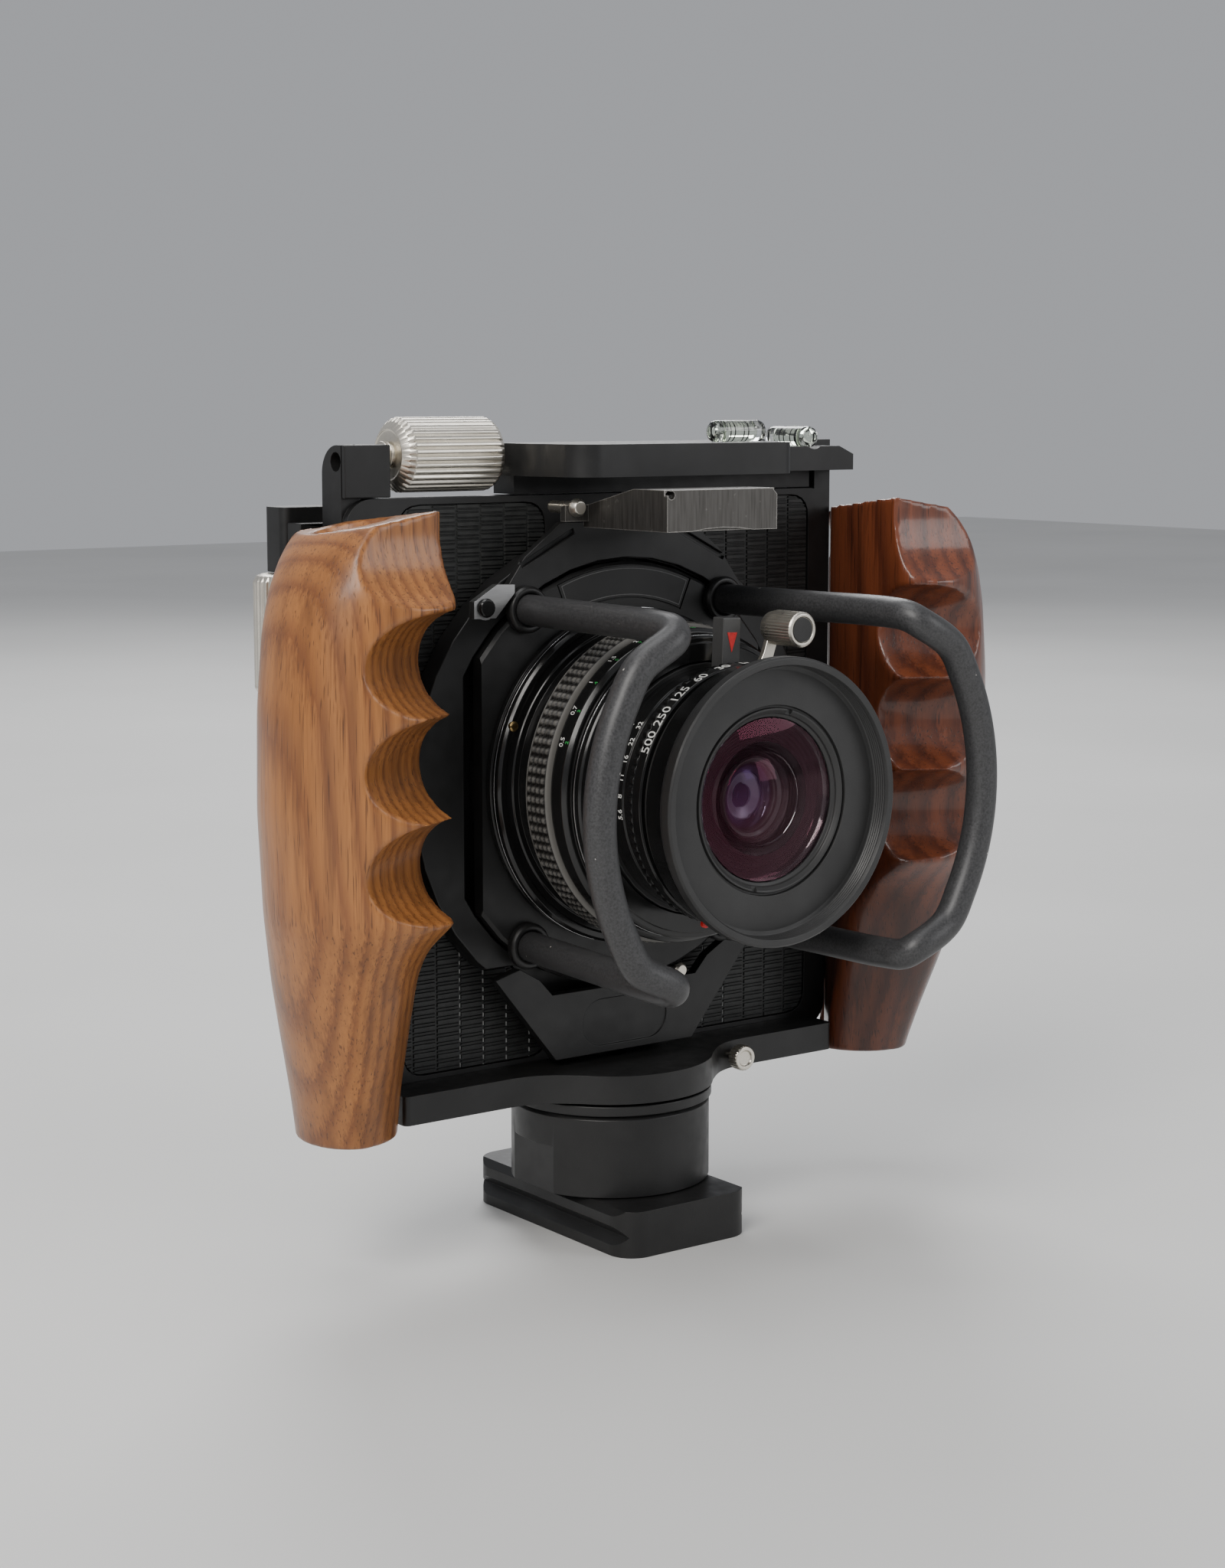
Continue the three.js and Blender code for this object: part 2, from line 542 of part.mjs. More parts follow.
function grip() {
  const rings = GRIP_HEIGHTS.map(gripRing);
  const body = loft(rings);
  const cuts = [];
  for (let i = 0; i < RIDGES.count; i += 1) {
    const z = RIDGES.first - RIDGES.pitch * (i + 0.5);
    cuts.push(ellipticTube([[50, -27.5], [112, -64.5]], z, RIDGES.halfHeight, RIDGES.depth));
  }
  cuts.push(ellipticTube([[50, -43], [120, -49]], 184.4, 19.2, 15));
  const { radiusX, radiusY, radiusZ } = THUMB_HOLLOW;
  const hollow = new THREE.SphereGeometry(1, 20, 12).scale(radiusX, radiusY, radiusZ);
  cuts.push(hollow.translate(THUMB_HOLLOW.x, THUMB_HOLLOW.y, THUMB_HOLLOW.z));
  const { x, y, z, slopeX, slopeY } = GRIP_TOP;
  const lean = new THREE.Matrix4().set(1, 0, 0, x, 0, 1, 0, y, -slopeX, -slopeY, 1, z, 0, 0, 0, 1);
  cuts.push(box(-60, 60, -60, 90, 0, 30).applyMatrix4(lean));
  cuts.push(box(LUG.inner, LUG.outer + GAP, LUG.front - GAP, 30, LUG.low - GAP, LUG.high + GAP));
  return cut(body, ...cuts);
}

// ---------- knobs ----------

function knurled(radius, length, ribs, depth) {
  const shape = new THREE.Shape();
  for (let i = 0; i < ribs * 4; i += 1) {
    const angle = (2 * Math.PI * i) / (ribs * 4);
    const r = i % 4 < 2 ? radius : radius - depth;
    const place = [r * Math.cos(angle), r * Math.sin(angle)];
    if (i === 0) shape.moveTo(...place);
    else shape.lineTo(...place);
  }
  const prism = plateXY(shape, 0, length);
  const soft = Math.min(2.6, length / 4);
  const low = [[0, 0], [radius - soft, 0], [radius - soft * 0.3, soft * 0.3], [radius, soft * 0.9]];
  const high = low.map(([r, h]) => [r, length - h]).reverse();
  const rounded = turnedZ([...low, ...high], 36);
  return common(prism, rounded);
}

function shiftKnob() {
  const { x, y, z, length, collar, shaft } = SHIFT_KNOB;
  const knob = knurled(KNOB.radius, length, KNOB.ribs, KNOB.ribDepth);
  const stem = [[0, -9.2], [shaft, -9.2], [shaft, -2], [collar, -2], [collar, 0.6], [0, 0.6]];
  return join(knob, turnedZ(stem, 16)).rotateY(Math.PI / 2).translate(x - length / 2, y, z);
}

function riseKnob() {
  const { x, y, z, length } = RISE_KNOB;
  const knob = knurled(KNOB.radius, length, KNOB.ribs, KNOB.ribDepth);
  const shaft = turnedZ(rod(2, length - 1, length + 12), 16);
  return join(knob, shaft).translate(x, y, z - length / 2);
}

// ---------- lens ----------

function focusFlange() {
  const { radius, front } = FLANGE;
  const { sleeveOuter, sleeveInner } = HELICOID;
  const seat = PANEL.front - GAP;
  const profile = [[sleeveInner, FOCUS.front + 0.4], [sleeveOuter, FOCUS.front + 0.4], [sleeveOuter, front]];
  profile.push([radius - 1, front], [radius, front + 1], [radius, seat], [26.6, seat]);
  profile.push([26.6, 1.4], [24.4, 1.4]);
  profile.push([24.4, front + 1.6], [sleeveInner, front + 1.6], [sleeveInner, FOCUS.front + 0.4]);
  return turnedY(profile);
}

function helicoidBarrel() {
  const { barrelInner, barrelOuter, noseRadius, noseFront } = HELICOID;
  const noseBack = FOCUS.scaleFront - GAP;
  const profile = [[barrelInner, noseFront], [noseRadius - 0.6, noseFront], [noseRadius, noseFront + 0.6]];
  profile.push([noseRadius, noseBack], [barrelOuter, noseBack], [barrelOuter, FLANGE.front + 1]);
  profile.push([barrelInner, FLANGE.front + 1], [barrelInner, noseFront]);
  return turnedY(profile);
}

function focusRing() {
  const { radius, back, front } = FOCUS;
  const bore = HELICOID.sleeveOuter + GAP;
  const profile = [[bore, front], [radius - 0.5, front], [radius, front + 0.5]];
  profile.push([radius, back - 0.5], [radius - 0.5, back], [bore, back], [bore, front]);
  return turnedY(profile);
}

function scaleRing() {
  const { scaleRadius, scaleFront, front } = FOCUS;
  const bore = HELICOID.barrelOuter + GAP;
  const profile = [[bore, scaleFront], [scaleRadius - 0.7, scaleFront], [scaleRadius, scaleFront + 1]];
  profile.push([scaleRadius, front - GAP], [bore, front - GAP], [bore, scaleFront]);
  return turnedY(profile);
}

function lensCarrier() {
  const front = SHUTTER.back + GAP;
  const profile = [[23, front], [31.3, front], [31.3, -14], [29.4, -14], [29.4, -37], [23, -37], [23, front]];
  return turnedY(profile);
}

function shutterHousing() {
  const { radius, back, front } = SHUTTER;
  const profile = [[21, front], [28.6, front], [28.6, -50], [radius, -50]];
  profile.push([radius, back - 1.2], [radius - 1, back]);
  profile.push([17, back], [17, back + 4], [15, back + 4], [15, -46], [21, -46], [21, front]);
  return turnedY(profile);
}

function speedRing() {
  const { outer, back, front } = SPEED;
  const bore = 28.9;
  const profile = [[bore, front], [outer - 0.5, front], [outer, front + 0.6], [outer, back]];
  profile.push([bore, back], [bore, front]);
  const ring = turnedY(profile);
  const notches = [];
  const count = 14;
  for (let i = 0; i < count; i += 1) {
    const angle = (2 * Math.PI * i) / count;
    const x = (outer + 0.3) * Math.cos(angle);
    const z = LENS_Z + (outer + 0.3) * Math.sin(angle);
    notches.push(turnedY(rod(1.3, back - 1.4, back + 1), 8, x, z));
  }
  return cut(ring, ...notches);
}

function frontBarrel() {
  const { rim, bore, front, recess, back, seat, glass } = BARREL;
  const shelf = glass - 1.4;
  const profile = [[seat, recess], [bore, recess], [bore, front + 0.4], [bore + 0.4, front]];
  profile.push([rim - 0.4, front], [rim, front + 0.4], [rim, front + 3], [rim - 0.9, front + 4.4]);
  profile.push([rim - 2.4, back - 2.4], [28, back], [20.6, back], [20.6, -50]);
  profile.push([shelf, -50], [shelf, front + 12], [glass + GAP, front + 12]);
  profile.push([glass + GAP, recess + 1.8], [seat, recess + 0.8], [seat, recess]);
  return turnedY(profile);
}

function lensElement(radius, rimFront, rimBack, dome) {
  const profile = [[0, rimFront - dome], [radius * 0.35, rimFront - dome * 0.88]];
  profile.push([radius * 0.7, rimFront - dome * 0.5], [radius, rimFront], [radius, rimBack], [0, rimBack]);
  return turnedY(profile, 40);
}

function shutterBlades() {
  return turnedY(tube(4.5, 14.6, -43.6, -42.9), 30);
}

function rearBarrel() {
  const outside = [[12.3, -39.8], [14.4, -39.8], [14.4, -36], [22, -32.4], [22, 4]];
  const inside = [[19.4, 4], [19.4, -4], [12.3, -30], [12.3, -39.8]];
  return turnedY([...outside, ...inside]);
}

function indexBlock() {
  const { tilt, halfWidth, front, back, top } = INDEX;
  const block = box(-halfWidth, halfWidth, front, back, SHUTTER.radius - 2, top);
  const hug = turnedY(rod(SHUTTER.radius + GAP, front - 4, back + 4), ROUND, 0, 0);
  return cut(block, hug).rotateY(tilt).translate(0, 0, LENS_Z);
}

function radialLever({ tilt, back, thick, inner, outer, width, tipRadius, tipFront, tipBack }) {
  const arm = box(-width / 2, width / 2, back - thick, back, inner, outer);
  const tip = turnedY(rod(tipRadius, tipFront, tipBack), 20, 0, outer);
  return join(arm, tip).rotateY(tilt).translate(0, 0, LENS_Z);
}

// ---------- rear ----------

function crossFrame() {
  const { halfWidth, low, high, front, back, openX, openLow, openHigh } = CROSS;
  const plate = plateXZ(roundedRect(-halfWidth, halfWidth, low, high, 6), front, back, 4);
  const opening = plateXZ(roundedRect(-openX, openX, openLow, openHigh, 4), front - 1, back + 1, 3);
  const arm = box(RISE_KNOB.x - 2.4, -halfWidth + 2, front, back, 174, 184);
  const railSlots = [low + 4.4, high - 4.4].map((z) => box(-90, 90, front - 1, front + 2.4, z - 2.2, z + 2.2));
  return cut(join(plate, arm), opening, ...railSlots);
}

function guideRail(z) {
  const half = BODY.halfWidth - 8;
  return box(-half, half, BODY.back + GAP, CROSS.front + 2.1, z - 1.9, z + 1.9);
}

function riseKnobBlock() {
  const { x, y, z, length } = RISE_KNOB;
  const low = z + length / 2 + GAP;
  const block = plateXY(roundedRect(x - 3.4, x + 13, CROSS.back + GAP, y + 7, 2.2), low, low + 16, 4);
  const bore = turnedZ(rod(2.4, low - 1, low + 13), 16, x, y);
  return cut(block, bore);
}

function riseGuide(side) {
  const { openX, openLow, openHigh, front } = CROSS;
  const x = side * (openX - 1.9);
  return box(x - 1.5, x + 1.5, front + 2.6, 26, openLow + 4.3, openHigh - 4.3);
}

function riseFrame() {
  const { halfWidth, low, high, front, back, open } = RISE;
  const plate = plateXZ(roundedRect(-halfWidth, halfWidth, low, high, 3), front, back, 3);
  const window = box(-open, open, front - 1, back + 1, LENS_Z - open * 0.75, LENS_Z + open * 0.75);
  return cut(plate, window);
}

function backAdapter() {
  const { back, open } = RISE;
  const plate = plateXZ(roundedRect(-43, 43, LENS_Z - 37, LENS_Z + 37, 4), back + GAP, back + 5, 3);
  const window = box(-open, open, back - 1, back + 8, LENS_Z - open * 0.75, LENS_Z + open * 0.75);
  const lip = box(-39, 39, back + 3, back + 8, LENS_Z - 32, LENS_Z + 32);
  return cut(plate, window, lip);
}

function backLatch() {
  const { back } = RISE;
  const bar = box(-14, 14, back + GAP, back + 4.4, LENS_Z + 37.6, LENS_Z + 43);
  return join(bar, turnedY(rod(2.6, back + 4, back + 7.6), 16, 0, LENS_Z + 40.3));
}

// ---------- foot ----------

function footDisc() {
  const { columnRadius, columnTop, discTop } = FOOT;
  const profile = [[4.3, columnTop + GAP], [columnRadius, columnTop + GAP]];
  profile.push([columnRadius + 0.6, columnTop + 1]);
  profile.push([columnRadius + 0.6, discTop - GAP], [4.3, discTop - GAP], [4.3, columnTop + GAP]);
  return turnedZ(profile, ROUND);
}

function footColumn() {
  const { columnRadius, columnTop, height, flat } = FOOT;
  const { headRadius, headTop, shank } = PIVOT_BOLT;
  const base = height + GAP;
  const seat = headTop + GAP;
  const bore = shank + 1.3;
  const profile = [[headRadius + GAP, base], [columnRadius, base], [columnRadius, columnTop - 0.8]];
  profile.push([columnRadius - 0.8, columnTop], [bore, columnTop], [bore, seat], [headRadius + GAP, seat]);
  profile.push([headRadius + GAP, base]);
  const column = turnedZ(profile, ROUND);
  const flats = [-1, 1].map((side) => {
    const x0 = side < 0 ? -40 : flat;
    return box(x0, x0 + 40 - flat, -40, 40, base - 1, columnTop - 8.6);
  });
  const screwHole = rod(FOOT_SCREW.shank + GAP, base - 1, FOOT_SCREW.top + 0.6);
  const holes = [-1, 1].map((end) => turnedZ(screwHole, 12, 0, end * FOOT_SCREW.y));
  return cut(column, ...flats, ...holes);
}

function footPlate() {
  const { length, width, height, corner, chamfer, grooveLow, grooveHigh, grooveDepth } = FOOT;
  const half = width / 2;
  const grooveMiddle = (grooveLow + grooveHigh) / 2 - 0.1;
  const right = [
    [half, 0], [half, grooveLow], [half - grooveDepth, grooveMiddle], [half, grooveHigh],
    [half, height - chamfer], [half - chamfer, height],
  ];
  const left = right.map(([x, z]) => [-x, z]).reverse();
  const bar = plateXZ(polygon([...right, ...left]), -length / 2, length / 2);
  const ends = plateXY(roundedRect(-half, half, -length / 2, length / 2, corner), -1, height + 1, 6);
  const holes = [-1, 1].flatMap((end) => {
    const sink = turnedZ(rod(FOOT_SCREW.head + GAP, -1, 4.6), 16, 0, end * FOOT_SCREW.y);
    return [sink, turnedZ(rod(FOOT_SCREW.shank + GAP, -1, height + 1), 12, 0, end * FOOT_SCREW.y)];
  });
  return cut(common(bar, ends), ...holes);
}

// The bolt that the camera turns on: its head sits in the column and it ends inside the bottom bridge.
function pivotBolt() {
  const { headRadius, headTop, shank, top } = PIVOT_BOLT;
  const base = FOOT.height + GAP + 0.2;
  const head = [[0, base], [headRadius, base], [headRadius, headTop]];
  return turnedZ([...head, [shank, headTop], [shank, top], [0, top]], 20);
}

function footScrew(end) {
  const { head, shank, top, y } = FOOT_SCREW;
  const profile = [[0, 0.6], [head - 0.4, 0.6], [head, 1], [head, 4.2], [shank, 4.2], [shank, top], [0, top]];
  return turnedZ(profile, 16, 0, end * y);
}

function lockScrew() {
  const { x, z, y } = LOCK;
  const knob = knurled(3.4, 3.6, 12, 0.3).rotateX(Math.PI / 2).translate(x, y - 2, z);
  const shaft = turnedY(rod(1.4, y - 3, y + 8.4), 12, x, z);
  return join(knob, shaft);
}

// ---------- small top parts ----------

function vialAcross() {
  const { x, y, z, radius, length } = VIAL_ACROSS;
  return turnedX(rod(radius, x - length / 2, x + length / 2), 20, y, z);
}

function vialAlong() {
  const { x, y, z, radius, length } = VIAL_ALONG;
  return turnedY(rod(radius, y - length / 2, y + length / 2), 20, x, z);
}

function latchLever() {
  const { x, z } = LATCH;
  const shape = polygon([[-3.4, -2.6], [3, -2.6], [8.6, 3.4], [8.6, 5.4], [3.4, 5.6], [-3.4, 1.6]]);
  const lever = plateXZ(shape, -9.4, -7.2).translate(x, 0, z);
  const hub = turnedY(rod(3, -9.4, -7.2), 20, x, z);
  const bore = turnedY(rod(1.5, -11, -6), 16, x, z);
  return cut(join(lever, hub), bore);
}

function latchPivot() {
  const { x, z } = LATCH;
  const profile = [[0, -10.6], [2, -10.6], [2.4, -10], [2.4, -9.6], [1.3, -9.6], [1.3, -4.6], [0, -4.6]];
  return turnedY(profile, 16, x, z);
}

function gripScrew(side) {
  const { x, z, radius, headRadius, headHeight } = GRIP_SCREW;
  const seat = BODY.back + GAP;
  const tip = LUG.front - 0.2;
  const profile = [[0, tip], [radius, tip], [radius, seat], [headRadius, seat]];
  profile.push([headRadius, seat + headHeight], [0, seat + headHeight]);
  return turnedY(profile, 16, side * x, z);
}

// ---------- assembly ----------

const group = new THREE.Group();
const add = (name, geometry, look) => group.add(named(name, geometry, look));

add('body_plate', bodyPlate(), finish.anodised);
for (const [place, side] of [['left', -1], ['right', 1]]) {
  add(`insert_upper_${place}`, insert(side, true), finish.rubber);
  add(`insert_lower_${place}`, insert(side, false), finish.rubber);
  add(`guard_bar_${place}`, guardBar(side), finish.rod);
  add(`grip_${place}`, side < 0 ? mirrored(grip()) : grip(), finish.wood);
  add(`grip_screw_${place}`, gripScrew(side), finish.silver);
}
add('top_bridge', topBridge(), finish.anodised);
add('bottom_bridge', bottomBridge(), finish.anodised);
add('ring_mount', ringMount(), finish.anodised);
add('upper_clip', upperClip(), finish.anodised);
add('lower_clip', lowerClip(), finish.anodised);
add('lens_panel', lensPanel(), finish.anodised);
add('name_plate', namePlate(), finish.satin);
add('panel_screw', screwY(17.6, 65.2, -8.2, 2, 1.4, 1.2, 5.8), finish.silver);
add('accessory_bracket', accessoryBracket(), finish.sheet);
add('bracket_screw', screwY(BRACKET_SCREW.x, BRACKET_SCREW.z, -16.4, 2.3, 2.2, 1.5, 10), finish.silver);
add('vial_across', vialAcross(), finish.vial);
add('vial_along', vialAlong(), finish.vial);
add('shift_knob_block', shiftKnobBlock(), finish.anodised);
add('guide_rail_upper', guideRail(CROSS.high - 4.4), finish.silver);
add('guide_rail_lower', guideRail(CROSS.low + 4.4), finish.silver);
add('latch_pivot', latchPivot(), finish.silver);
add('latch_lever', latchLever(), finish.anodised);
add('focus_flange', focusFlange(), finish.anodised);

add('shift_knob', shiftKnob(), finish.silver);
add('cross_frame', crossFrame(), finish.anodised);
add('rise_guide_left', riseGuide(-1), finish.silver);
add('rise_guide_right', riseGuide(1), finish.silver);
add('rise_knob_block', riseKnobBlock(), finish.satin);
add('rise_knob', riseKnob(), finish.silver);
add('rise_frame', riseFrame(), finish.anodised);
add('back_adapter', backAdapter(), finish.satin);
add('back_latch', backLatch(), finish.satin);

add('focus_ring', focusRing(), finish.rubber);
add('scale_ring', scaleRing(), finish.anodised);
add('helicoid_barrel', helicoidBarrel(), finish.satin);
add('lens_carrier', lensCarrier(), finish.anodised);
add('shutter_housing', shutterHousing(), finish.anodised);
add('shutter_blades', shutterBlades(), finish.blade);
add('index_block', indexBlock(), finish.grey);
add('front_barrel', frontBarrel(), finish.anodised);
add('front_element', lensElement(BARREL.glass, -63.4, -58.8, 1.8), finish.glass);
add('rear_barrel', rearBarrel(), finish.anodised);
add('rear_element', turnedY([[0, -3], [19, -3], [19, 1.6], [12, 3], [0, 3.8]], 40), finish.glass);
add('speed_ring', speedRing(), finish.anodised);
add('cocking_lever', radialLever(COCKING), finish.silver);
add('aperture_lever', radialLever(APERTURE), finish.silver);
add('release_lever', radialLever(RELEASE), finish.silver);

add('foot_disc', footDisc(), finish.anodised);
add('foot_column', footColumn(), finish.anodised);
add('foot_plate', footPlate(), finish.anodised);
add('pivot_bolt', pivotBolt(), finish.silver);
add('foot_screw_front', footScrew(-1), finish.silver);
add('foot_screw_rear', footScrew(1), finish.silver);
add('lock_screw', lockScrew(), finish.silver);

export default group;
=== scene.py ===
"""The looks of a technical view camera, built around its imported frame.

Lengths are in millimetres until a mesh is made. The lens looks along -Y and +Z is up.
"""

import json
import math
from contextlib import contextmanager

import bmesh
import bpy
import numpy as np
from mathutils import Matrix, Vector


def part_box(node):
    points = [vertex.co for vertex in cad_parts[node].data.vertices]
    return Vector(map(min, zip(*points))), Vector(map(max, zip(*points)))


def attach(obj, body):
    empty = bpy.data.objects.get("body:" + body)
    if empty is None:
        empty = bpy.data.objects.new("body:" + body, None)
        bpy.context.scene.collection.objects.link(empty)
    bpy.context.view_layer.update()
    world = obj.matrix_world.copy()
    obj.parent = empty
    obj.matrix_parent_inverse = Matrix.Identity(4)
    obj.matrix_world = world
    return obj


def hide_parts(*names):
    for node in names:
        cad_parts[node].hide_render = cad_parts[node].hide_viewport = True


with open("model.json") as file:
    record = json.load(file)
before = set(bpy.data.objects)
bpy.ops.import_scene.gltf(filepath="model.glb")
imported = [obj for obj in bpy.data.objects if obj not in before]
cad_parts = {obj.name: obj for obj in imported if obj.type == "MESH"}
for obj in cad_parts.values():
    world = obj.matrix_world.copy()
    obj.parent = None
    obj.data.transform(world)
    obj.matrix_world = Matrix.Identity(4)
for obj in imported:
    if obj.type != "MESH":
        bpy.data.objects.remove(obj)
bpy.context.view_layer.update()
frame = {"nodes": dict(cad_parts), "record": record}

MM = 0.001
FINE = 144
SMALL = 48
X, Y, Z = 0, 1, 2

RECORD = frame["record"]
BODY_OF = {node: body for body, nodes in RECORD["behaviour"]["bodies"].items() for node in nodes}
SLOT_OF = {part["node"]: part["material_slot"] for part in RECORD["subparts"]}


def span(node, axis):
    """The lowest and highest place of a CAD node along one axis."""
    low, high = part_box(node)
    return low[axis] / MM, high[axis] / MM


def middle(node, axis):
    low, high = span(node, axis)
    return (low + high) / 2


def reach_of(node, axis=X):
    """Half of a CAD node's size along one axis."""
    low, high = span(node, axis)
    return (high - low) / 2


LENS_Z = middle("front_barrel", Z)
LENS = (0, LENS_Z)


# ---------- camera, light and floor ----------

CAMERA_PLACE = (-0.4195, -0.568, 0.2151)
CAMERA_TURN = math.radians(36.5)
CAMERA_DOWN = math.radians(8.05)
CAMERA_LENS = 63.28
FLOOR_SIZE = 6.0


def make_camera():
    data = bpy.data.cameras.new("view")
    data.lens = CAMERA_LENS
    data.sensor_width = 36
    data.clip_start = 0.01
    camera = bpy.data.objects.new("view", data)
    camera.location = CAMERA_PLACE
    camera.rotation_euler = (math.pi / 2 - CAMERA_DOWN, 0, -CAMERA_TURN)
    bpy.context.scene.collection.objects.link(camera)
    bpy.context.scene.camera = camera


def soft_light(name, place, size, power, colour=(1, 1, 1)):
    data = bpy.data.lights.new(name, "AREA")
    data.shape = "RECTANGLE"
    data.size, data.size_y = size
    data.energy = power
    data.color = colour
    light = bpy.data.objects.new(name, data)
    light.location = place
    aim = Vector((0, 0, 0.11)) - Vector(place)
    light.rotation_euler = aim.to_track_quat("-Z", "Y").to_euler()
    bpy.context.scene.collection.objects.link(light)


def make_lights():
    world = bpy.data.worlds.new("studio")
    world.use_nodes = True
    background = world.node_tree.nodes["Background"]
    background.inputs["Color"].default_value = (0.93, 0.95, 1.0, 1)
    background.inputs["Strength"].default_value = 0.42
    bpy.context.scene.world = world
    soft_light("key", (-1.25, -0.75, 1.25), (0.8, 1.1), 26, (1.0, 0.97, 0.93))
    soft_light("fill", (1.1, -1.35, 0.75), (0.7, 0.9), 7)
    soft_light("rim", (0.75, 1.25, 1.15), (0.9, 0.6), 15)
    soft_light("top", (-0.1, 0.1, 1.7), (0.9, 0.9), 9)


def make_floor():
    half = FLOOR_SIZE / 2
    mesh = bpy.data.meshes.new("floor")
    corners = [(-half, -half, 0), (half, -half, 0), (half, half, 0), (-half, half, 0)]
    mesh.from_pydata(corners, [], [(0, 1, 2, 3)])
    floor = bpy.data.objects.new("floor", mesh)
    bpy.context.scene.collection.objects.link(floor)
    shader = Shader("floor", {"Roughness": 0.6})
    tone = shader.noise(3, detail=4)
    shader.feed("Base Color", shader.ramp(tone, (0.3, (0.62, 0.62, 0.61)), (0.7, (0.68, 0.68, 0.67))))
    mesh.materials.append(shader.material)


# ---------- materials ----------

NOISE_LOW, NOISE_HIGH = 0.3, 0.7


class Shader:
    """One procedural material: a Principled shader and the nodes that feed it."""

    def __init__(self, name, sockets=None):
        self.material = bpy.data.materials.new(name)
        self.material.use_nodes = True
        self.tree = self.material.node_tree
        self.surface = self.tree.nodes["Principled BSDF"]
        for socket, value in (sockets or {}).items():
            self.surface.inputs[socket].default_value = value
        self.place = self.add("ShaderNodeTexCoord").outputs["Object"]

    def add(self, kind, inputs=None, **settings):
        node = self.tree.nodes.new(kind)
        for key, value in settings.items():
            setattr(node, key, value)
        for key, value in (inputs or {}).items():
            if isinstance(value, bpy.types.NodeSocket):
                self.tree.links.new(value, node.inputs[key])
            else:
                node.inputs[key].default_value = value
        return node

    def feed(self, socket, output):
        self.tree.links.new(output, self.surface.inputs[socket])

    def noise(self, scale, detail=3, stretch=(1, 1, 1), roughness=0.5, place=None, output="Fac"):
        place = place or self.place
        mapped = self.add("ShaderNodeMapping", {"Vector": place, "Scale": stretch}).outputs[0]
        inputs = {"Vector": mapped, "Scale": scale, "Detail": detail, "Roughness": roughness}
        return self.add("ShaderNodeTexNoise", inputs).outputs[output]

    def ramp(self, factor, *stops):
        node = self.add("ShaderNodeValToRGB", {"Fac": factor})
        elements = node.color_ramp.elements
        while len(elements) < len(stops):
            elements.new(0.5)
        for element, (position, colour) in zip(elements, stops):
            element.position = position
            element.color = (*colour, 1) if isinstance(colour, tuple) else (colour, colour, colour, 1)
        return node.outputs["Color"]

    def spread(self, noise, to_low, to_high):
        """Stretches a noise, which mostly stays between NOISE_LOW and NOISE_HIGH, to another range."""
        inputs = {"Value": noise, "From Min": NOISE_LOW, "From Max": NOISE_HIGH}
        inputs.update({"To Min": to_low, "To Max": to_high})
        return self.add("ShaderNodeMapRange", inputs).outputs["Result"]

    def sums(self, how, a, b):
        return self.add("ShaderNodeMath", {0: a, 1: b}, operation=how).outputs[0]

    def vector(self, how, a, b, output="Vector"):
        return self.add("ShaderNodeVectorMath", {0: a, 1: b}, operation=how).outputs[output]

    def mix(self, factor, a, b, how="MIX"):
        node = self.add("ShaderNodeMix", {0: factor}, data_type="RGBA", blend_type=how)
        for index, value in ((6, a), (7, b)):
            if isinstance(value, bpy.types.NodeSocket):
                self.tree.links.new(value, node.inputs[index])
            else:
                node.inputs[index].default_value = (*value, 1)
        return node.outputs[2]

    def bump(self, height, distance, after=None):
        inputs = {"Height": height, "Distance": distance * MM, "Strength": 1.0}
        if after:
            inputs["Normal"] = after
        return self.add("ShaderNodeBump", inputs).outputs["Normal"]


def metal(name, dark, light, roughness, metallic, grain=5000, depth=0.004, sockets=None, brush=(1, 1, 1)):
    """A metal surface with cloudy tone, fine grain and slightly uneven gloss."""
    shader = Shader(name, {"Metallic": metallic, **(sockets or {})})
    cloud = shader.noise(70, detail=4)
    fine = shader.noise(grain, detail=2, stretch=brush)
    tone = shader.sums("ADD", shader.sums("MULTIPLY", cloud, 0.6), shader.sums("MULTIPLY", fine, 0.4))
    shader.feed("Base Color", shader.ramp(tone, (0.35, dark), (0.65, light)))
    rough_low, rough_high = roughness
    shader.feed("Roughness", shader.spread(shader.noise(260, detail=3), rough_low, rough_high))
    shader.feed("Normal", shader.bump(fine, depth))
    return shader.material


def speckled_rod():
    """Dark grey coating with a fine mottle and a few tiny bright chips."""
    shader = Shader("speckled_rod", {"Metallic": 0.3})
    mottle = shader.noise(1900, detail=3, roughness=0.6)
    base = shader.ramp(mottle, (0.3, (0.034, 0.034, 0.035)), (0.7, (0.07, 0.07, 0.072)))
    chips = shader.ramp(shader.noise(560, detail=1), (0.795, 0.0), (0.81, 1.0))
    shader.feed("Base Color", shader.mix(chips, base, (0.5, 0.48, 0.45)))
    shader.feed("Roughness", shader.spread(mottle, 0.34, 0.5))
    shader.feed("Normal", shader.bump(mottle, 0.012))
    return shader.material


def bracket_sheet():
    """Dark warm grey sheet metal, faintly brushed, brighter at its edges: partly real wear, partly a painted
    highlight.
    """
    shader = Shader("bracket_sheet", {"Metallic": 0.75})
    streaks = shader.noise(1800, detail=3, stretch=(1, 1, 0.06))
    base = shader.ramp(streaks, (0.3, (0.07, 0.066, 0.061)), (0.7, (0.11, 0.105, 0.099)))
    rounded = shader.add("ShaderNodeBevel", {"Radius": 0.35 * MM}, samples=4).outputs["Normal"]
    flat = shader.add("ShaderNodeNewGeometry").outputs["True Normal"]
    turn = shader.vector("DOT_PRODUCT", rounded, flat, output="Value")
    patchy = shader.sums("ADD", turn, shader.spread(shader.noise(500), -0.06, 0.06))
    # The rounded edges are coloured pale: real wear along them together with a painted edge highlight.
    wear_and_highlight = shader.ramp(patchy, (0.86, 1.0), (0.95, 0.0))
    shader.feed("Base Color", shader.mix(wear_and_highlight, base, (0.5, 0.48, 0.45)))
    shader.feed("Roughness", shader.spread(streaks, 0.33, 0.46))
    shader.feed("Normal", shader.bump(streaks, 0.004))
    return shader.material


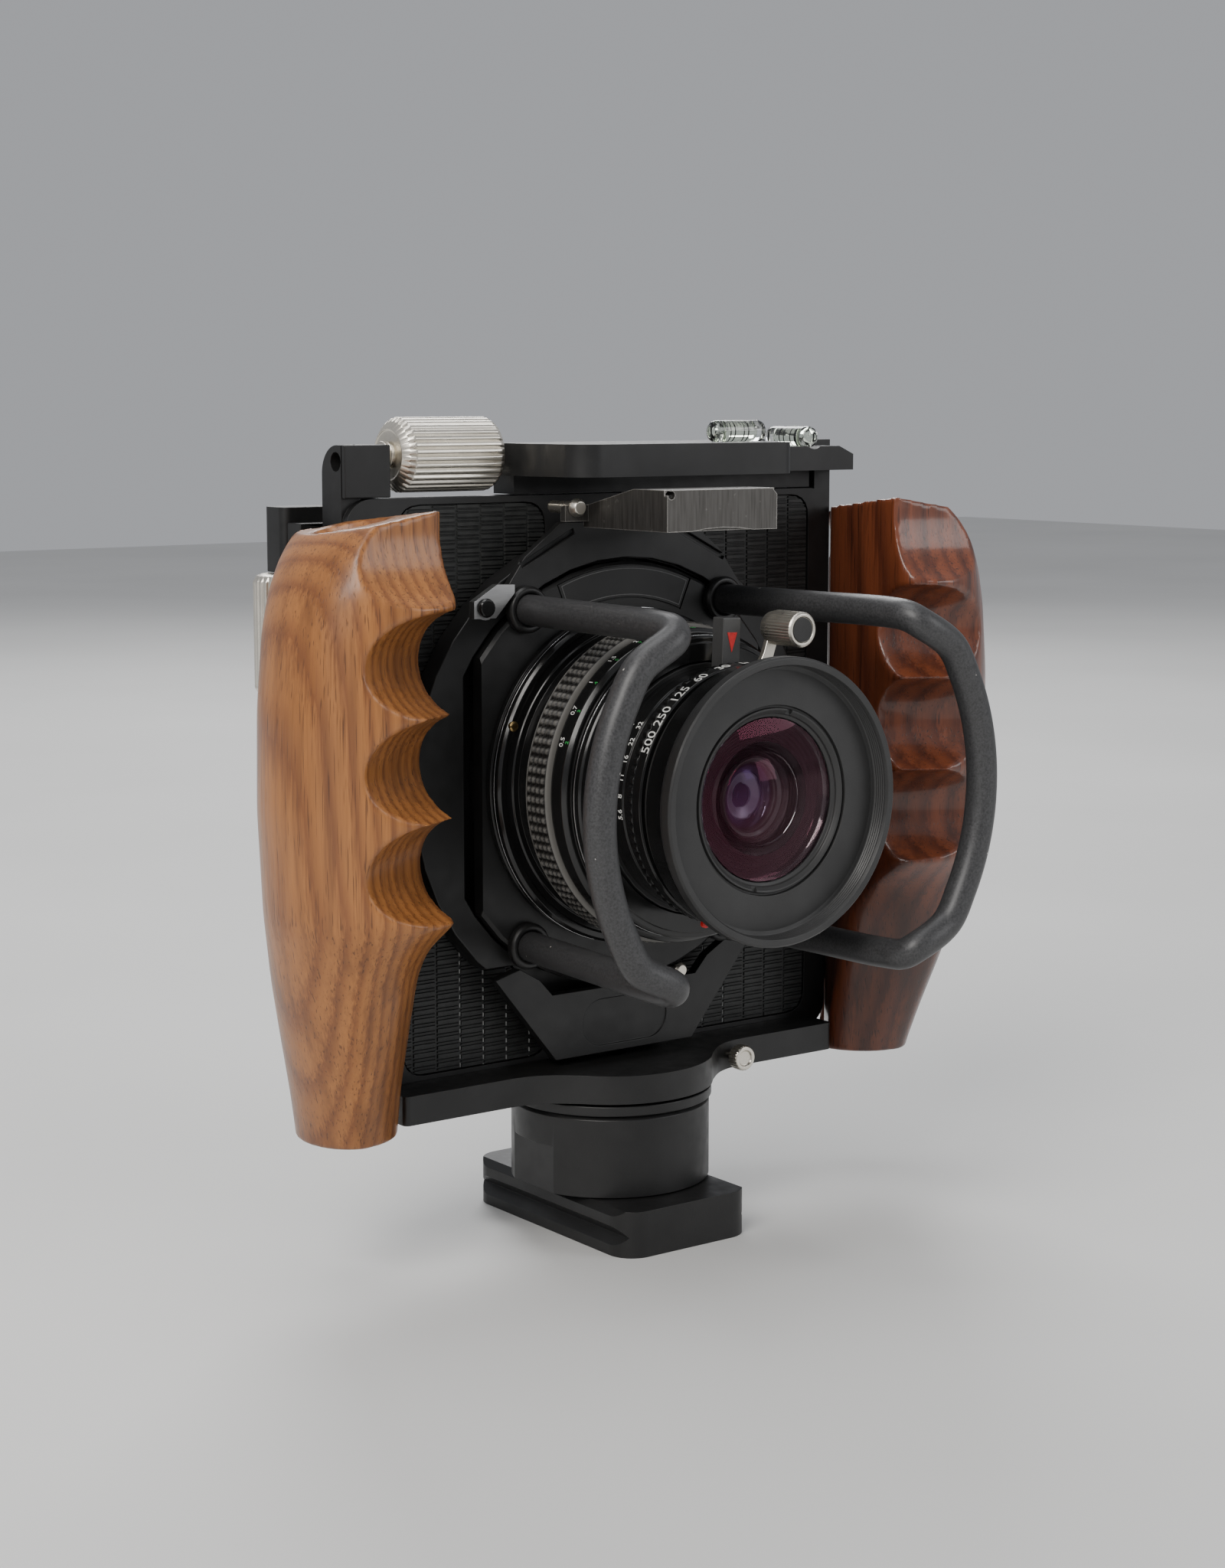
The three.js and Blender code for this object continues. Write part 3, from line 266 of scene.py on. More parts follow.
def rubber(name, dark, light, roughness):
    shader = Shader(name, {"Specular IOR Level": 0.45})
    cloud = shader.noise(350, detail=4)
    grain = shader.noise(3500, detail=2)
    shader.feed("Base Color", shader.ramp(cloud, (0.3, dark), (0.7, light)))
    shader.feed("Roughness", shader.spread(grain, roughness - 0.08, roughness + 0.08))
    shader.feed("Normal", shader.bump(grain, 0.012))
    return shader.material


def knurled_rubber():
    """Black rubber with a painted highlight: its raised pips are coloured lighter grey."""
    shader = Shader("knurled_rubber", {"Specular IOR Level": 0.4})
    raised = shader.add("ShaderNodeNewGeometry").outputs["Pointiness"]
    # Painted highlight: the raised pips, found by their pointiness, are coloured lighter grey.
    pip_highlight = shader.sums("ADD", raised, shader.spread(shader.noise(300), -0.02, 0.02))
    shader.feed("Base Color", shader.ramp(pip_highlight, (0.49, (0.007, 0.0065, 0.006)), (0.56, (0.13, 0.125, 0.115))))
    shader.feed("Roughness", shader.spread(shader.noise(2600), 0.45, 0.62))
    shader.feed("Normal", shader.bump(shader.noise(3500), 0.01))
    return shader.material


def paint(name, colour, roughness=0.5):
    """Filled lettering and marks: a flat colour, slightly worn."""
    shader = Shader(name, {})
    wear_and_highlight = tuple(0.72 * part for part in colour)
    shader.feed("Base Color", shader.ramp(shader.noise(900, detail=3), (0.3, wear_and_highlight), (0.6, colour)))
    shader.feed("Roughness", shader.spread(shader.noise(2500), roughness - 0.1, roughness + 0.1))
    return shader.material


def clear_glass(name, tint, ior, sockets=None):
    clear = {"Transmission Weight": 1.0, "IOR": ior, "Base Color": (*tint, 1)}
    shader = Shader(name, {**clear, **(sockets or {})})
    shader.feed("Roughness", shader.spread(shader.noise(60), 0.0, 0.004))
    return shader.material


RING_WANDER = 13


def wood(name, pith, tilt, pitch, light, middle_tone, dark, streaks, coat):
    """Oiled walnut: growth layers round a far, tilted pith, long fibres, open pores and slow tone."""
    coat_weight, coat_roughness = coat
    finish = {"Coat Weight": coat_weight, "Coat Roughness": coat_roughness, "Specular IOR Level": 0.4}
    shader = Shader(name, finish)
    wander = shader.noise(14, detail=2, stretch=(1, 1, 0.45), output="Color")
    shift = shader.vector("SUBTRACT", wander, (0.5, 0.5, 0.5))
    scaling = {0: shift, "Scale": RING_WANDER * MM}
    shift = shader.add("ShaderNodeVectorMath", scaling, operation="SCALE").outputs[0]
    moved = shader.vector("ADD", shader.place, shift)
    centre = {"Vector": moved, "Location": [v * MM for v in pith]}
    centre["Rotation"] = [math.radians(v) for v in tilt]
    ring_place = shader.add("ShaderNodeMapping", centre, vector_type="TEXTURE").outputs[0]
    inputs = {"Vector": ring_place, "Scale": math.pi / 10 / (pitch * MM), "Distortion": 0.0}
    settings = {"wave_type": "RINGS", "rings_direction": "Z", "wave_profile": "SAW"}
    rings = shader.add("ShaderNodeTexWave", inputs, **settings).outputs["Fac"]
    fibre = shader.noise(1500, detail=4, stretch=(1, 1, 0.03), roughness=0.6)
    rings = shader.sums("ADD", rings, shader.spread(fibre, -0.16, 0.16))
    growth = shader.ramp(rings, (0.0, middle_tone), (0.3, light), (0.62, light), (1.0, middle_tone))
    bands = shader.noise(230, detail=3, stretch=(1, 1, 0.035), roughness=0.6)
    growth = shader.mix(shader.ramp(bands, (0.47, 0.0), (0.72, 0.6)), growth, dark)
    broad = shader.noise(30, detail=3, stretch=(1, 1, 0.25))
    toned = shader.mix(shader.ramp(broad, (0.45, 0.0), (0.68, streaks)), growth, dark)
    fibred = shader.mix(0.5, toned, shader.ramp(fibre, (0.25, 0.5), (0.7, 1.0)), "MULTIPLY")
    pores = shader.noise(2300, detail=1, stretch=(1, 1, 0.03))
    pore_mask = shader.ramp(pores, (0.62, 0.0), (0.7, 1.0))
    pore_tone = tuple(0.4 * part for part in dark)
    shader.feed("Base Color", shader.mix(shader.sums("MULTIPLY", pore_mask, 0.6), fibred, pore_tone))
    shader.feed("Roughness", shader.spread(fibre, 0.34, 0.5))
    relief = shader.bump(shader.sums("MULTIPLY", pore_mask, -1.0), 0.03)
    shader.feed("Normal", shader.bump(fibre, 0.008, after=relief))
    return shader.material


def make_looks():
    """Every finish of the object, by name. A record's material slot has the look of the same name."""
    coating_tint = {"Specular Tint": (0.34, 0.04, 0.12, 1)}
    inner_tint = {"Specular Tint": (0.22, 0.12, 0.45, 1)}
    nickel = ((0.66, 0.62, 0.54), (0.8, 0.76, 0.68))
    steel = ((0.66, 0.66, 0.67), (0.78, 0.78, 0.79))
    dull = {"Specular IOR Level": 0.15}
    looks = {
        "body_metal": metal("black_anodised", 0.011, 0.02, (0.34, 0.46), 0.25),
        "lens_black": metal("gloss_black_enamel", 0.006, 0.011, (0.14, 0.22), 0.1, depth=0.001),
        "lens_satin": metal("satin_black_ring", 0.03, 0.042, (0.4, 0.5), 0.3),
        "rod_metal": speckled_rod(),
        "sheet_metal": bracket_sheet(),
        "silver": metal("satin_nickel", *nickel, (0.26, 0.36), 0.95, depth=0.001),
        "polished": metal("polished_steel", *steel, (0.1, 0.2), 1.0, depth=0.001),
        "steel": metal("ground_steel", 0.4, 0.52, (0.28, 0.4), 1.0, brush=(0.05, 1, 1)),
        "brass": metal("brass", (0.32, 0.22, 0.09), (0.46, 0.33, 0.15), (0.28, 0.4), 1.0),
        "texture_rubber": rubber("covering", (0.014, 0.015, 0.0145), (0.027, 0.028, 0.027), 0.5),
        "ring_rubber": knurled_rubber(),
        "thread": paint("stitch_thread", (0.42, 0.43, 0.42), 0.6),
        "blade_metal": metal("blackened_blade", 0.008, 0.014, (0.38, 0.5), 0.4),
        "index_grey": metal("grey_enamel", 0.05, 0.08, (0.32, 0.44), 0.2),
        "iris_grey": metal("bright_iris_ring", 0.2, 0.28, (0.3, 0.4), 0.3),
        "inside_black": metal("baffle_black", 0.0015, 0.003, (0.6, 0.75), 0.0, sockets=dull),
        "white": paint("white_fill", (0.75, 0.75, 0.72)),
        "red": paint("red_fill", (0.62, 0.02, 0.02), 0.35),
        "green": paint("green_fill", (0.03, 0.35, 0.07)),
        "frame_line": paint("grey_line", (0.11, 0.11, 0.11)),
        "lens_glass": clear_glass("coated_glass", (0.9, 0.84, 0.88), 1.5, coating_tint),
        "inner_glass": clear_glass("inner_glass", (0.75, 0.7, 0.8), 1.5, inner_tint),
        "vial_glass": clear_glass("acrylic", (0.97, 0.99, 0.97), 1.46),
        "vial_liquid": clear_glass("level_liquid", (0.92, 0.97, 0.86), 1.36),
    }
    looks["wood_left"] = wood(
        "walnut_left", pith=(150, -10, 110), tilt=(2, -3, 0), pitch=3.4,
        light=(0.42, 0.165, 0.045), middle_tone=(0.25, 0.088, 0.025), dark=(0.13, 0.045, 0.015), streaks=0.45,
        coat=(0.35, 0.2),
    )
    looks["wood_right"] = wood(
        "walnut_right", pith=(-190, -60, 110), tilt=(3, 4, 0), pitch=5.2,
        light=(0.19, 0.048, 0.017), middle_tone=(0.10, 0.024, 0.01), dark=(0.022, 0.006, 0.0035), streaks=0.8,
        coat=(0.6, 0.14),
    )
    return looks


# ---------- mesh helpers ----------

def link(piece):
    bpy.context.scene.collection.objects.link(piece)
    return piece


def drop(piece):
    bpy.data.objects.remove(piece)


@contextmanager
def editing(piece):
    """Opens a piece's mesh for editing and puts the result back."""
    work = bmesh.new()
    work.from_mesh(piece.data)
    yield work
    work.to_mesh(piece.data)
    work.free()


def outward(piece):
    """Turns every face of a closed mesh to face out."""
    with editing(piece) as work:
        bmesh.ops.recalc_face_normals(work, faces=work.faces)
    return piece


def add_piece(name, points, faces):
    mesh = bpy.data.meshes.new(name)
    mesh.from_pydata([Vector(point) * MM for point in points], [], faces)
    return outward(link(bpy.data.objects.new(name, mesh)))


def settle(piece):
    """Makes the result of a piece's modifiers its mesh."""
    graph = bpy.context.evaluated_depsgraph_get()
    mesh = bpy.data.meshes.new_from_object(piece.evaluated_get(graph))
    piece.modifiers.clear()
    piece.data = mesh
    return piece


def combine(piece, how, *tools, solver="EXACT"):
    for tool in tools:
        modifier = piece.modifiers.new("combine", "BOOLEAN")
        modifier.operation = how
        modifier.solver = solver
        modifier.object = tool
        settle(piece)
        drop(tool)
    return piece


def cut(piece, *tools, solver="EXACT"):
    return combine(piece, "DIFFERENCE", *tools, solver=solver)


def common(piece, *tools):
    return combine(piece, "INTERSECT", *tools)


def merged(name, pieces):
    """Several loose pieces as one."""
    work = bmesh.new()
    for piece in pieces:
        work.from_mesh(piece.data)
        drop(piece)
    mesh = bpy.data.meshes.new(name)
    work.to_mesh(mesh)
    work.free()
    return link(bpy.data.objects.new(name, mesh))


FLAT_WITHIN = math.radians(0.4)


def cleaned(piece):
    """Welds a triangulated mesh and joins its flat faces."""
    mesh = piece.data
    for layer in ("custom_normal", "sharp_edge", "sharp_face"):
        if layer in mesh.attributes:
            mesh.attributes.remove(mesh.attributes[layer])
    with editing(piece) as work:
        bmesh.ops.remove_doubles(work, verts=work.verts, dist=2e-6)
        bmesh.ops.dissolve_limit(work, angle_limit=FLAT_WITHIN, verts=work.verts, edges=work.edges)
    return piece


def eased(piece, width, segments=3, angle=32):
    """Rounds the sharp edges of a piece."""
    modifier = piece.modifiers.new("ease", "BEVEL")
    modifier.width = width * MM
    modifier.segments = segments
    modifier.limit_method = "ANGLE"
    modifier.angle_limit = math.radians(angle)
    return settle(piece)


def shaded(piece, angle=36):
    """Smooth shading with flat faces kept flat."""
    mesh = piece.data
    mesh.polygons.foreach_set("use_smooth", [True] * len(mesh.polygons))
    mesh.set_sharp_from_angle(angle=math.radians(angle))
    modifier = piece.modifiers.new("flatten", "WEIGHTED_NORMAL")
    modifier.keep_sharp = True
    return settle(piece)


def dressed(piece, look):
    piece.data.materials.clear()
    piece.data.materials.append(looks[look])
    return piece


def stands_for(piece, *nodes, look=None):
    """The piece takes the place, body and material slot of CAD nodes."""
    slot = SLOT_OF[nodes[0]]
    dressed(piece, look or slot)
    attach(piece, BODY_OF[nodes[0]])
    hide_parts(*nodes)
    return piece


def trim_on(piece, node, look):
    """A piece without a CAD node of its own, fixed to one."""
    dressed(piece, look)
    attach(piece, BODY_OF[node])
    return piece


def copy_of(node, name):
    """A welded copy of a CAD node's mesh."""
    return cleaned(link(bpy.data.objects.new(name, frame["nodes"][node].data.copy())))


def refine(node, width=0.4, look=None, cuts=()):
    """The CAD node's own shape with its edges rounded."""
    piece = copy_of(node, f"{node}_fine")
    if cuts:
        cleaned(cut(piece, *cuts))
    return stands_for(shaded(eased(piece, width)), node, look=look)


def soften(outline, radius, steps=3):
    """Replaces each corner of a closed outline by a short curve. Points on the axis stay."""
    soft = []
    for i, place in enumerate(outline):
        corner = Vector(place)
        back = Vector(outline[i - 1]) - corner
        ahead = Vector(outline[(i + 1) % len(outline)]) - corner
        if corner.x < 1e-6 or not back.length or not ahead.length:
            soft.append(corner)
            continue
        reach = min(radius, back.length * 0.45, ahead.length * 0.45)
        start = corner + back.normalized() * reach
        end = corner + ahead.normalized() * reach
        for step in range(steps + 1):
            t = step / steps
            soft.append(start * (1 - t) ** 2 + corner * 2 * t * (1 - t) + end * t * t)
    return soft


def tube_faces(rings, sides):
    """Faces of a skin over stacked closed rings of points, with an end face at both ends."""
    total = rings * sides
    faces = [list(range(sides)), list(range(total - sides, total))]
    for i in range(rings - 1):
        for k in range(sides):
            n = (k + 1) % sides
            faces.append([i * sides + k, i * sides + n, (i + 1) * sides + n, (i + 1) * sides + k])
    return faces


def round_lens(piece, angle):
    """Turns a piece drawn at the origin by an angle about the lens's own axis."""
    turn = Matrix.Rotation(angle, 4, "Y")
    piece.data.transform(Matrix.Translation((0, 0, LENS_Z * MM)) @ turn)
    return piece


def spun(axis, at, radius, height, angle):
    across, up = radius * math.cos(angle), radius * math.sin(angle)
    if axis == "X":
        return height, at[0] + across, at[1] + up
    if axis == "Y":
        return at[0] + across, height, at[1] + up
    return at[0] + across, at[1] + up, height


def lathe(name, profile, axis="Y", at=LENS, segments=FINE, soft=0.2, relief=None):
    """Turns a profile of (radius, height) round an axis. `relief` may change the radius round the turn."""
    outline = soften(profile, soft) if soft else [Vector(place) for place in profile]
    points, rings = [], []
    for radius, height in outline:
        if radius < 1e-6:
            rings.append([len(points)] * segments)
            points.append(spun(axis, at, 0, height, 0))
            continue
        rings.append([len(points) + k for k in range(segments)])
        for k in range(segments):
            angle = 2 * math.pi * k / segments
            shown = relief(angle, radius, height) if relief else radius
            points.append(spun(axis, at, shown, height, angle))
    follow = rings[1:] + rings[:1] if outline[0].x > 1e-6 else rings[1:]
    faces = []
    for low, high in zip(rings, follow):
        for k in range(segments):
            n = (k + 1) % segments
            face = list(dict.fromkeys((low[k], low[n], high[n], high[k])))
            if len(face) > 2:
                faces.append(face)
    return add_piece(name, points, faces)


def turned(name, profile, **settings):
    return shaded(lathe(name, profile, **settings))


def rod(radius, low, high):
    return [(0, low), (radius, low), (radius, high), (0, high)]


def ring(inner, outer, low, high):
    return [(inner, low), (outer, low), (outer, high), (inner, high)]


def prism(name, outline, plane, low, high):
    """An outline drawn in a plane and given thickness across it."""
    place = {
        "XZ": lambda a, b, depth: (a, depth, b),
        "XY": lambda a, b, depth: (a, b, depth),
        "YZ": lambda a, b, depth: (depth, a, b),
    }[plane]
    count = len(outline)
    points = [place(a, b, depth) for depth in (low, high) for a, b in outline]
    sides = [(i, (i + 1) % count, count + (i + 1) % count, count + i) for i in range(count)]
    return add_piece(name, points, [list(range(count)), list(range(count, 2 * count)), *sides])


def block(name, x0, x1, y0, y1, z0, z1):
    return prism(name, [(x0, y0), (x1, y0), (x1, y1), (x0, y1)], "XY", z0, z1)


def catmull_rom(points, count):
    """`count` points on a centripetal Catmull-Rom curve through the given ones, shared out evenly."""
    points = [np.array(point, float) for point in points]
    points = [2 * points[0] - points[1], *points, 2 * points[-1] - points[-2]]
    stretches = len(points) - 3
    curve = []
    for i in range(count):
        place = i / (count - 1) * stretches
        k = min(int(place), stretches - 1)
        p0, p1, p2, p3 = points[k:k + 4]
        t0 = 0.0
        t1 = t0 + math.sqrt(np.linalg.norm(p1 - p0))
        t2 = t1 + math.sqrt(np.linalg.norm(p2 - p1))
        t3 = t2 + math.sqrt(np.linalg.norm(p3 - p2))
        t = t1 + (place - k) * (t2 - t1)
        a1 = (t1 - t) / (t1 - t0) * p0 + (t - t0) / (t1 - t0) * p1
        a2 = (t2 - t) / (t2 - t1) * p1 + (t - t1) / (t2 - t1) * p2
        a3 = (t3 - t) / (t3 - t2) * p2 + (t - t2) / (t3 - t2) * p3
        b1 = (t2 - t) / (t2 - t0) * a1 + (t - t0) / (t2 - t0) * a2
        b2 = (t3 - t) / (t3 - t1) * a2 + (t - t1) / (t3 - t1) * a3
        curve.append((t2 - t) / (t2 - t1) * b1 + (t - t1) / (t2 - t1) * b2)
    return curve


def swept(name, path, radius, sides=28):
    """A round rod along a path of points."""
    points, normal = [], Vector((0, 1, 0))
    path = [Vector(place) for place in path]
    for i, place in enumerate(path):
        along = (path[min(i + 1, len(path) - 1)] - path[max(i - 1, 0)]).normalized()
        if i == 0:
            normal = along.orthogonal().normalized()
        normal = (normal - along * normal.dot(along)).normalized()
        across = along.cross(normal)
        for k in range(sides):
            angle = 2 * math.pi * k / sides
            points.append(place + normal * radius * math.cos(angle) + across * radius * math.sin(angle))
    return add_piece(name, points, tube_faces(len(path), sides))


def ribs(count, depth, low, high, fade=0.8):
    """Relief of straight rounded ribs between two heights, running out over `fade` at each end."""
    def relief(angle, radius, height):
        inside = min(height - low, high - height) / fade
        strength = min(max(inside, 0), 1)
        groove = 0.5 + 0.5 * math.cos(count * angle)
        return radius - depth * strength * groove ** 3
    return relief


# ---------- marks on the lens ----------

def words_round(name, words, radius, y, size, first, step):
    """Numbers set round the lens, read clockwise from in front, with their feet towards the front."""
    pieces = []
    for i, word in enumerate(words):
        curve = bpy.data.curves.new(name, "FONT")
        curve.body = word
        curve.size = size
        curve.extrude = 0.04
        curve.resolution_u = 3
        curve.align_x = "CENTER"
        text = link(bpy.data.objects.new(name, curve))
        graph = bpy.context.evaluated_depsgraph_get()
        mesh = bpy.data.meshes.new_from_object(text.evaluated_get(graph))
        drop(text)
        start = math.radians(first - step * i)
        for vertex in mesh.vertices:
            across, up, out = vertex.co
            angle = start - across / radius
            vertex.co = Vector(spun("Y", LENS, radius + out, y + up, angle)) * MM
        pieces.append(link(bpy.data.objects.new(name, mesh)))
    piece = merged(name, pieces)
    bpy.context.view_layer.update()
    return outward(welded(piece))


def welded(piece):
    with editing(piece) as work:
        bmesh.ops.remove_doubles(work, verts=work.verts, dist=1e-6)
    return piece


def ticks_round(name, angles, radius, low, high, width=0.25):
    """Short lines along the lens, one at each angle in degrees."""
    pieces = []
    for angle in angles:
        outline = [(-width / 2, low), (width / 2, low), (width / 2, high), (-width / 2, high)]
        tick = prism(name, outline, "XY", radius - 0.1, radius + 0.05)
        pieces.append(round_lens(tick, math.radians(90 - angle)))
    return merged(name, pieces)


# ---------- lens ----------

def front_barrel():
    rim = reach_of("front_barrel")
    front, back = span("front_barrel", Y)
    bore, seat, recess = rim - 2.4, 22.7, front + 4.8
    profile = [(seat + 0.4, recess), (bore - 1, recess + 0.1), (bore, recess - 0.1)]
    for turn in range(5):
        at = recess - 0.5 - 0.75 * turn
        profile += [(bore + 0.35, at), (bore, at - 0.37)]
    profile += [(bore + 0.45, front), (rim - 0.5, front), (rim, front + 0.5), (rim, front + 3.0)]
    profile += [(rim - 0.8, front + 3.7), (rim - 0.95, front + 4.6), (rim - 2.2, -58.6), (rim - 2.5, -58.2)]
    profile += [(rim - 3.4, -58.0), (rim - 3.6, -56.2), (28, -55.9), (20.6, -55.9), (20.6, back)]
    profile += [(19.2, back), (18.6, -58.2), (20.1, -58.4), (20.1, recess + 1.9), (20.9, recess + 1.5)]
    profile += [(21.0, recess + 0.9), (21.9, recess + 0.1), (22.3, recess + 0.1), (22.4, recess + 1.0)]
    profile += [(23.0, recess + 1.0)]
    body = lathe("front_barrel_fine", profile, soft=0.14)
    notches = []
    for angle in (76, 256):
        notch = block("notch", -0.8, 0.8, recess - 1, recess + 0.9, 20.9, 22.35)
        notches.append(round_lens(notch, math.radians(90 - angle)))
    stands_for(shaded(cut(body, *notches)), "front_barrel", look="lens_satin")
    band = [(rim - 0.98, front + 4.75), (rim - 0.92, front + 4.75), (rim - 2.16, -58.7), (rim - 2.24, -58.7)]
    trim_on(turned("front_barrel_band", band, soft=0), "front_barrel", "lens_black")


def inner_lens():
    """The front glass and what shows behind it: a ribbed baffle, a second element and the iris ring."""
    radius = reach_of("front_element")
    low, high = span("front_element", Y)
    edge = low + 1.8
    curve = [(radius * k / 12, low + 1.8 * (k / 12) ** 2) for k in range(13)]
    hollow = []
    for k in range(10, -1, -1):
        rise = 1 - math.sqrt(1 - (k / 10 * 0.999) ** 2)
        hollow.append((13.6 * k / 10, low + 2.2 + 4.0 * rise))
    profile = [*curve, (radius, edge + 1.6), (radius - 0.5, high), *hollow]
    stands_for(turned("front_element_fine", profile, soft=0), "front_element")
    baffle = [(19.9, -58.6), (18.2, -58.5)]
    for k in range(7):
        baffle += [(17.6 - 0.95 * k, -58.1 + 0.42 * k), (17.3 - 0.95 * k, -57.7 + 0.42 * k)]
    baffle += [(11.0, -54.9), (11.0, -54.2), (18.2, -54.2), (18.2, -56.4), (19.9, -57.6)]
    trim_on(turned("front_baffle", baffle, soft=0.05), "front_barrel", "inside_black")
    cell = [(9.4, -55.6), (10.4, -56.2), (11.2, -55.2), (11.2, -53.4), (6.4, -51.2), (6.2, -51.8)]
    cell += [(9.4, -54.8)]
    trim_on(turned("second_cell", cell, soft=0.12), "front_barrel", "lens_satin")
    second = [(0, -56.0), (5.0, -55.6), (9.2, -54.4), (9.2, -53.6), (0, -53.6)]
    trim_on(turned("second_element", second, soft=0.3), "front_barrel", "inner_glass")
    eyelet = [(3.0, -50.6), (5.6, -51.2), (6.1, -50.9), (6.1, -50.3), (3.0, -49.9)]
    trim_on(turned("iris_ring", eyelet, soft=0.1), "front_barrel", "iris_grey")


BLADES, BLADE_OUTER, BLADE_INNER = 10, 14.4, 4.2
BLADE_THICK, BLADE_STEP = 0.05, 0.055


def shutter_blades():
    """Ten thin overlapping blades round a small opening."""
    low, high = span("shutter_blades", Y)
    blades = []
    for k in range(BLADES):
        arcs = [(BLADE_OUTER, -18 + 9 * step) for step in range(9)]
        arcs += [(BLADE_INNER, angle) for angle in (66, 40, 14, -12)]
        outline = [(r * math.cos(math.radians(a)), r * math.sin(math.radians(a))) for r, a in arcs]
        at = low + BLADE_THICK + BLADE_STEP * k
        blade = prism("blade", outline, "XZ", at, at + BLADE_THICK)
        blades.append(round_lens(blade, math.radians(360 / BLADES * k)))
    stands_for(shaded(merged("shutter_blades_fine", blades)), "shutter_blades")


def speed_ring():
    outer = reach_of("speed_ring")
    front, back = span("speed_ring", Y)
    split = back - 1.9
    profile = [(28.9, front), (outer - 0.4, front), (outer, front + 0.4), (outer, split - 0.25)]
    profile += [(outer - 0.35, split - 0.1), (outer - 0.35, split + 0.1), (outer, split + 0.25)]
    profile += [(outer, back - 0.5), (outer, back), (28.9, back)]
    teeth = ribs(84, 0.5, split + 0.1, back + 2, 0.2)
    ring_body = turned("speed_ring_fine", profile, segments=84 * 5, soft=0.1, relief=teeth)
    stands_for(ring_body, "speed_ring", look="lens_black")
    speeds = ["500", "250", "125", "60", "30", "15", "8", "4", "2", "1"]
    numbers = words_round("speed_numbers", speeds, outer, front + 0.3, 4.0, 152, 12.8)
    trim_on(numbers, "speed_ring", "white")


def shutter_housing():
    radius = reach_of("shutter_housing")
    front, back = span("shutter_housing", Y)
    profile = [(21, front), (28.6, front), (28.6, -50), (radius, -50), (radius, -46.6), (radius - 0.4, -46.4)]
    profile += [(radius - 0.4, -45.9), (radius, -45.7), (radius, back), (radius, back - 1.2), (17, back)]
    profile += [(17, back + 3.9), (15, back + 3.9), (15, -46), (21, -46)]
    body = turned("shutter_housing_fine", profile, soft=0.15)
    stands_for(body, "shutter_housing", look="lens_black")
    stops = ["5.6", "8", "11", "16", "22", "32"]
    trim_on(words_round("stop_numbers", stops, radius, -45.5, 2.2, 186, 8.5), "shutter_housing", "white")
    marks = ticks_round("stop_marks", [186 - 4.25 * k for k in range(11)], radius, -42.6, -41.7)
    trim_on(marks, "shutter_housing", "white")


METRES = ("0.5", "0.7", "1", "1.5", "2", "3", "5", "10")
FEET = ("2", "3", "4", "5", "7", "10", "15", "30")
SCALE_FIRST, SCALE_STEP = 160, 12


def focus_parts():
    """The rubber focus ring with its raised pips, the distance scale ring and the barrel before them."""
    radius = reach_of("focus_ring")
    front, back = span("focus_ring", Y)
    bore = radius - 3.1
    columns, rows, steps = 104, 4, 6
    length = back - front - 1.6

    def edge(place):
        return min(1, max(0, 2.2 - 4.4 * abs(place % 1 - 0.5) - 0.35))

    def pips(angle, r, y):
        if r < radius - 0.2 or not front + 0.79 <= y <= back - 0.79:
            return r
        around = columns * angle / (2 * math.pi)
        along = rows * (y - front - 0.8) / length
        return r - 0.55 + 0.55 * min(edge(around), edge(along))

    profile = [(bore, front), (radius - 0.9, front), (radius - 0.35, front + 0.5)]
    profile += [(radius, front + 0.8 + length * k / (rows * steps)) for k in range(rows * steps + 1)]
    profile += [(radius - 0.35, back - 0.5), (radius - 0.9, back), (bore, back)]
    body = lathe("focus_ring_fine", profile, segments=columns * steps, soft=0, relief=pips)
    stands_for(shaded(body, 50), "focus_ring")

    outer = reach_of("scale_ring")
    low, high = span("scale_ring", Y)
    bore = outer - 4.1
    profile = [(bore, low), (outer - 1.0, low), (outer - 0.1, low + 0.9), (outer, low + 1.2)]
    profile += [(outer, high - 0.8), (outer - 0.3, high - 0.5), (outer - 0.3, high), (bore, high)]
    stands_for(turned("scale_ring_fine", profile), "scale_ring", look="lens_black")
    metres = words_round("metre_numbers", METRES, outer, low + 3.1, 2.1, SCALE_FIRST, SCALE_STEP)
    trim_on(metres, "scale_ring", "white")
    feet = words_round("feet_numbers", FEET, outer, low + 1.2, 1.7, SCALE_FIRST, SCALE_STEP)
    trim_on(feet, "scale_ring", "green")

    nose = reach_of("helicoid_barrel")
    low, high = span("helicoid_barrel", Y)
    nose_back = span("scale_ring", Y)[0] - 0.3
    profile = [(31.6, low), (nose - 1.8, low), (nose - 1.5, low + 0.4), (nose - 0.5, low + 0.5)]
    profile += [(nose, low + 1.0)]
    for groove in (low + 1.9, low + 3.3):
        profile += [(nose, groove), (nose - 0.5, groove + 0.15), (nose - 0.5, groove + 0.4)]
        profile += [(nose, groove + 0.55)]
    profile += [(nose, nose_back), (35, nose_back), (35, high), (31.6, high)]
    stands_for(turned("helicoid_barrel_fine", profile, soft=0.12), "helicoid_barrel", look="lens_black")
    bright = ring(nose - 0.1, nose + 0.04, low + 2.65, low + 2.95)
    trim_on(turned("nose_line", bright, soft=0.05), "helicoid_barrel", "polished")


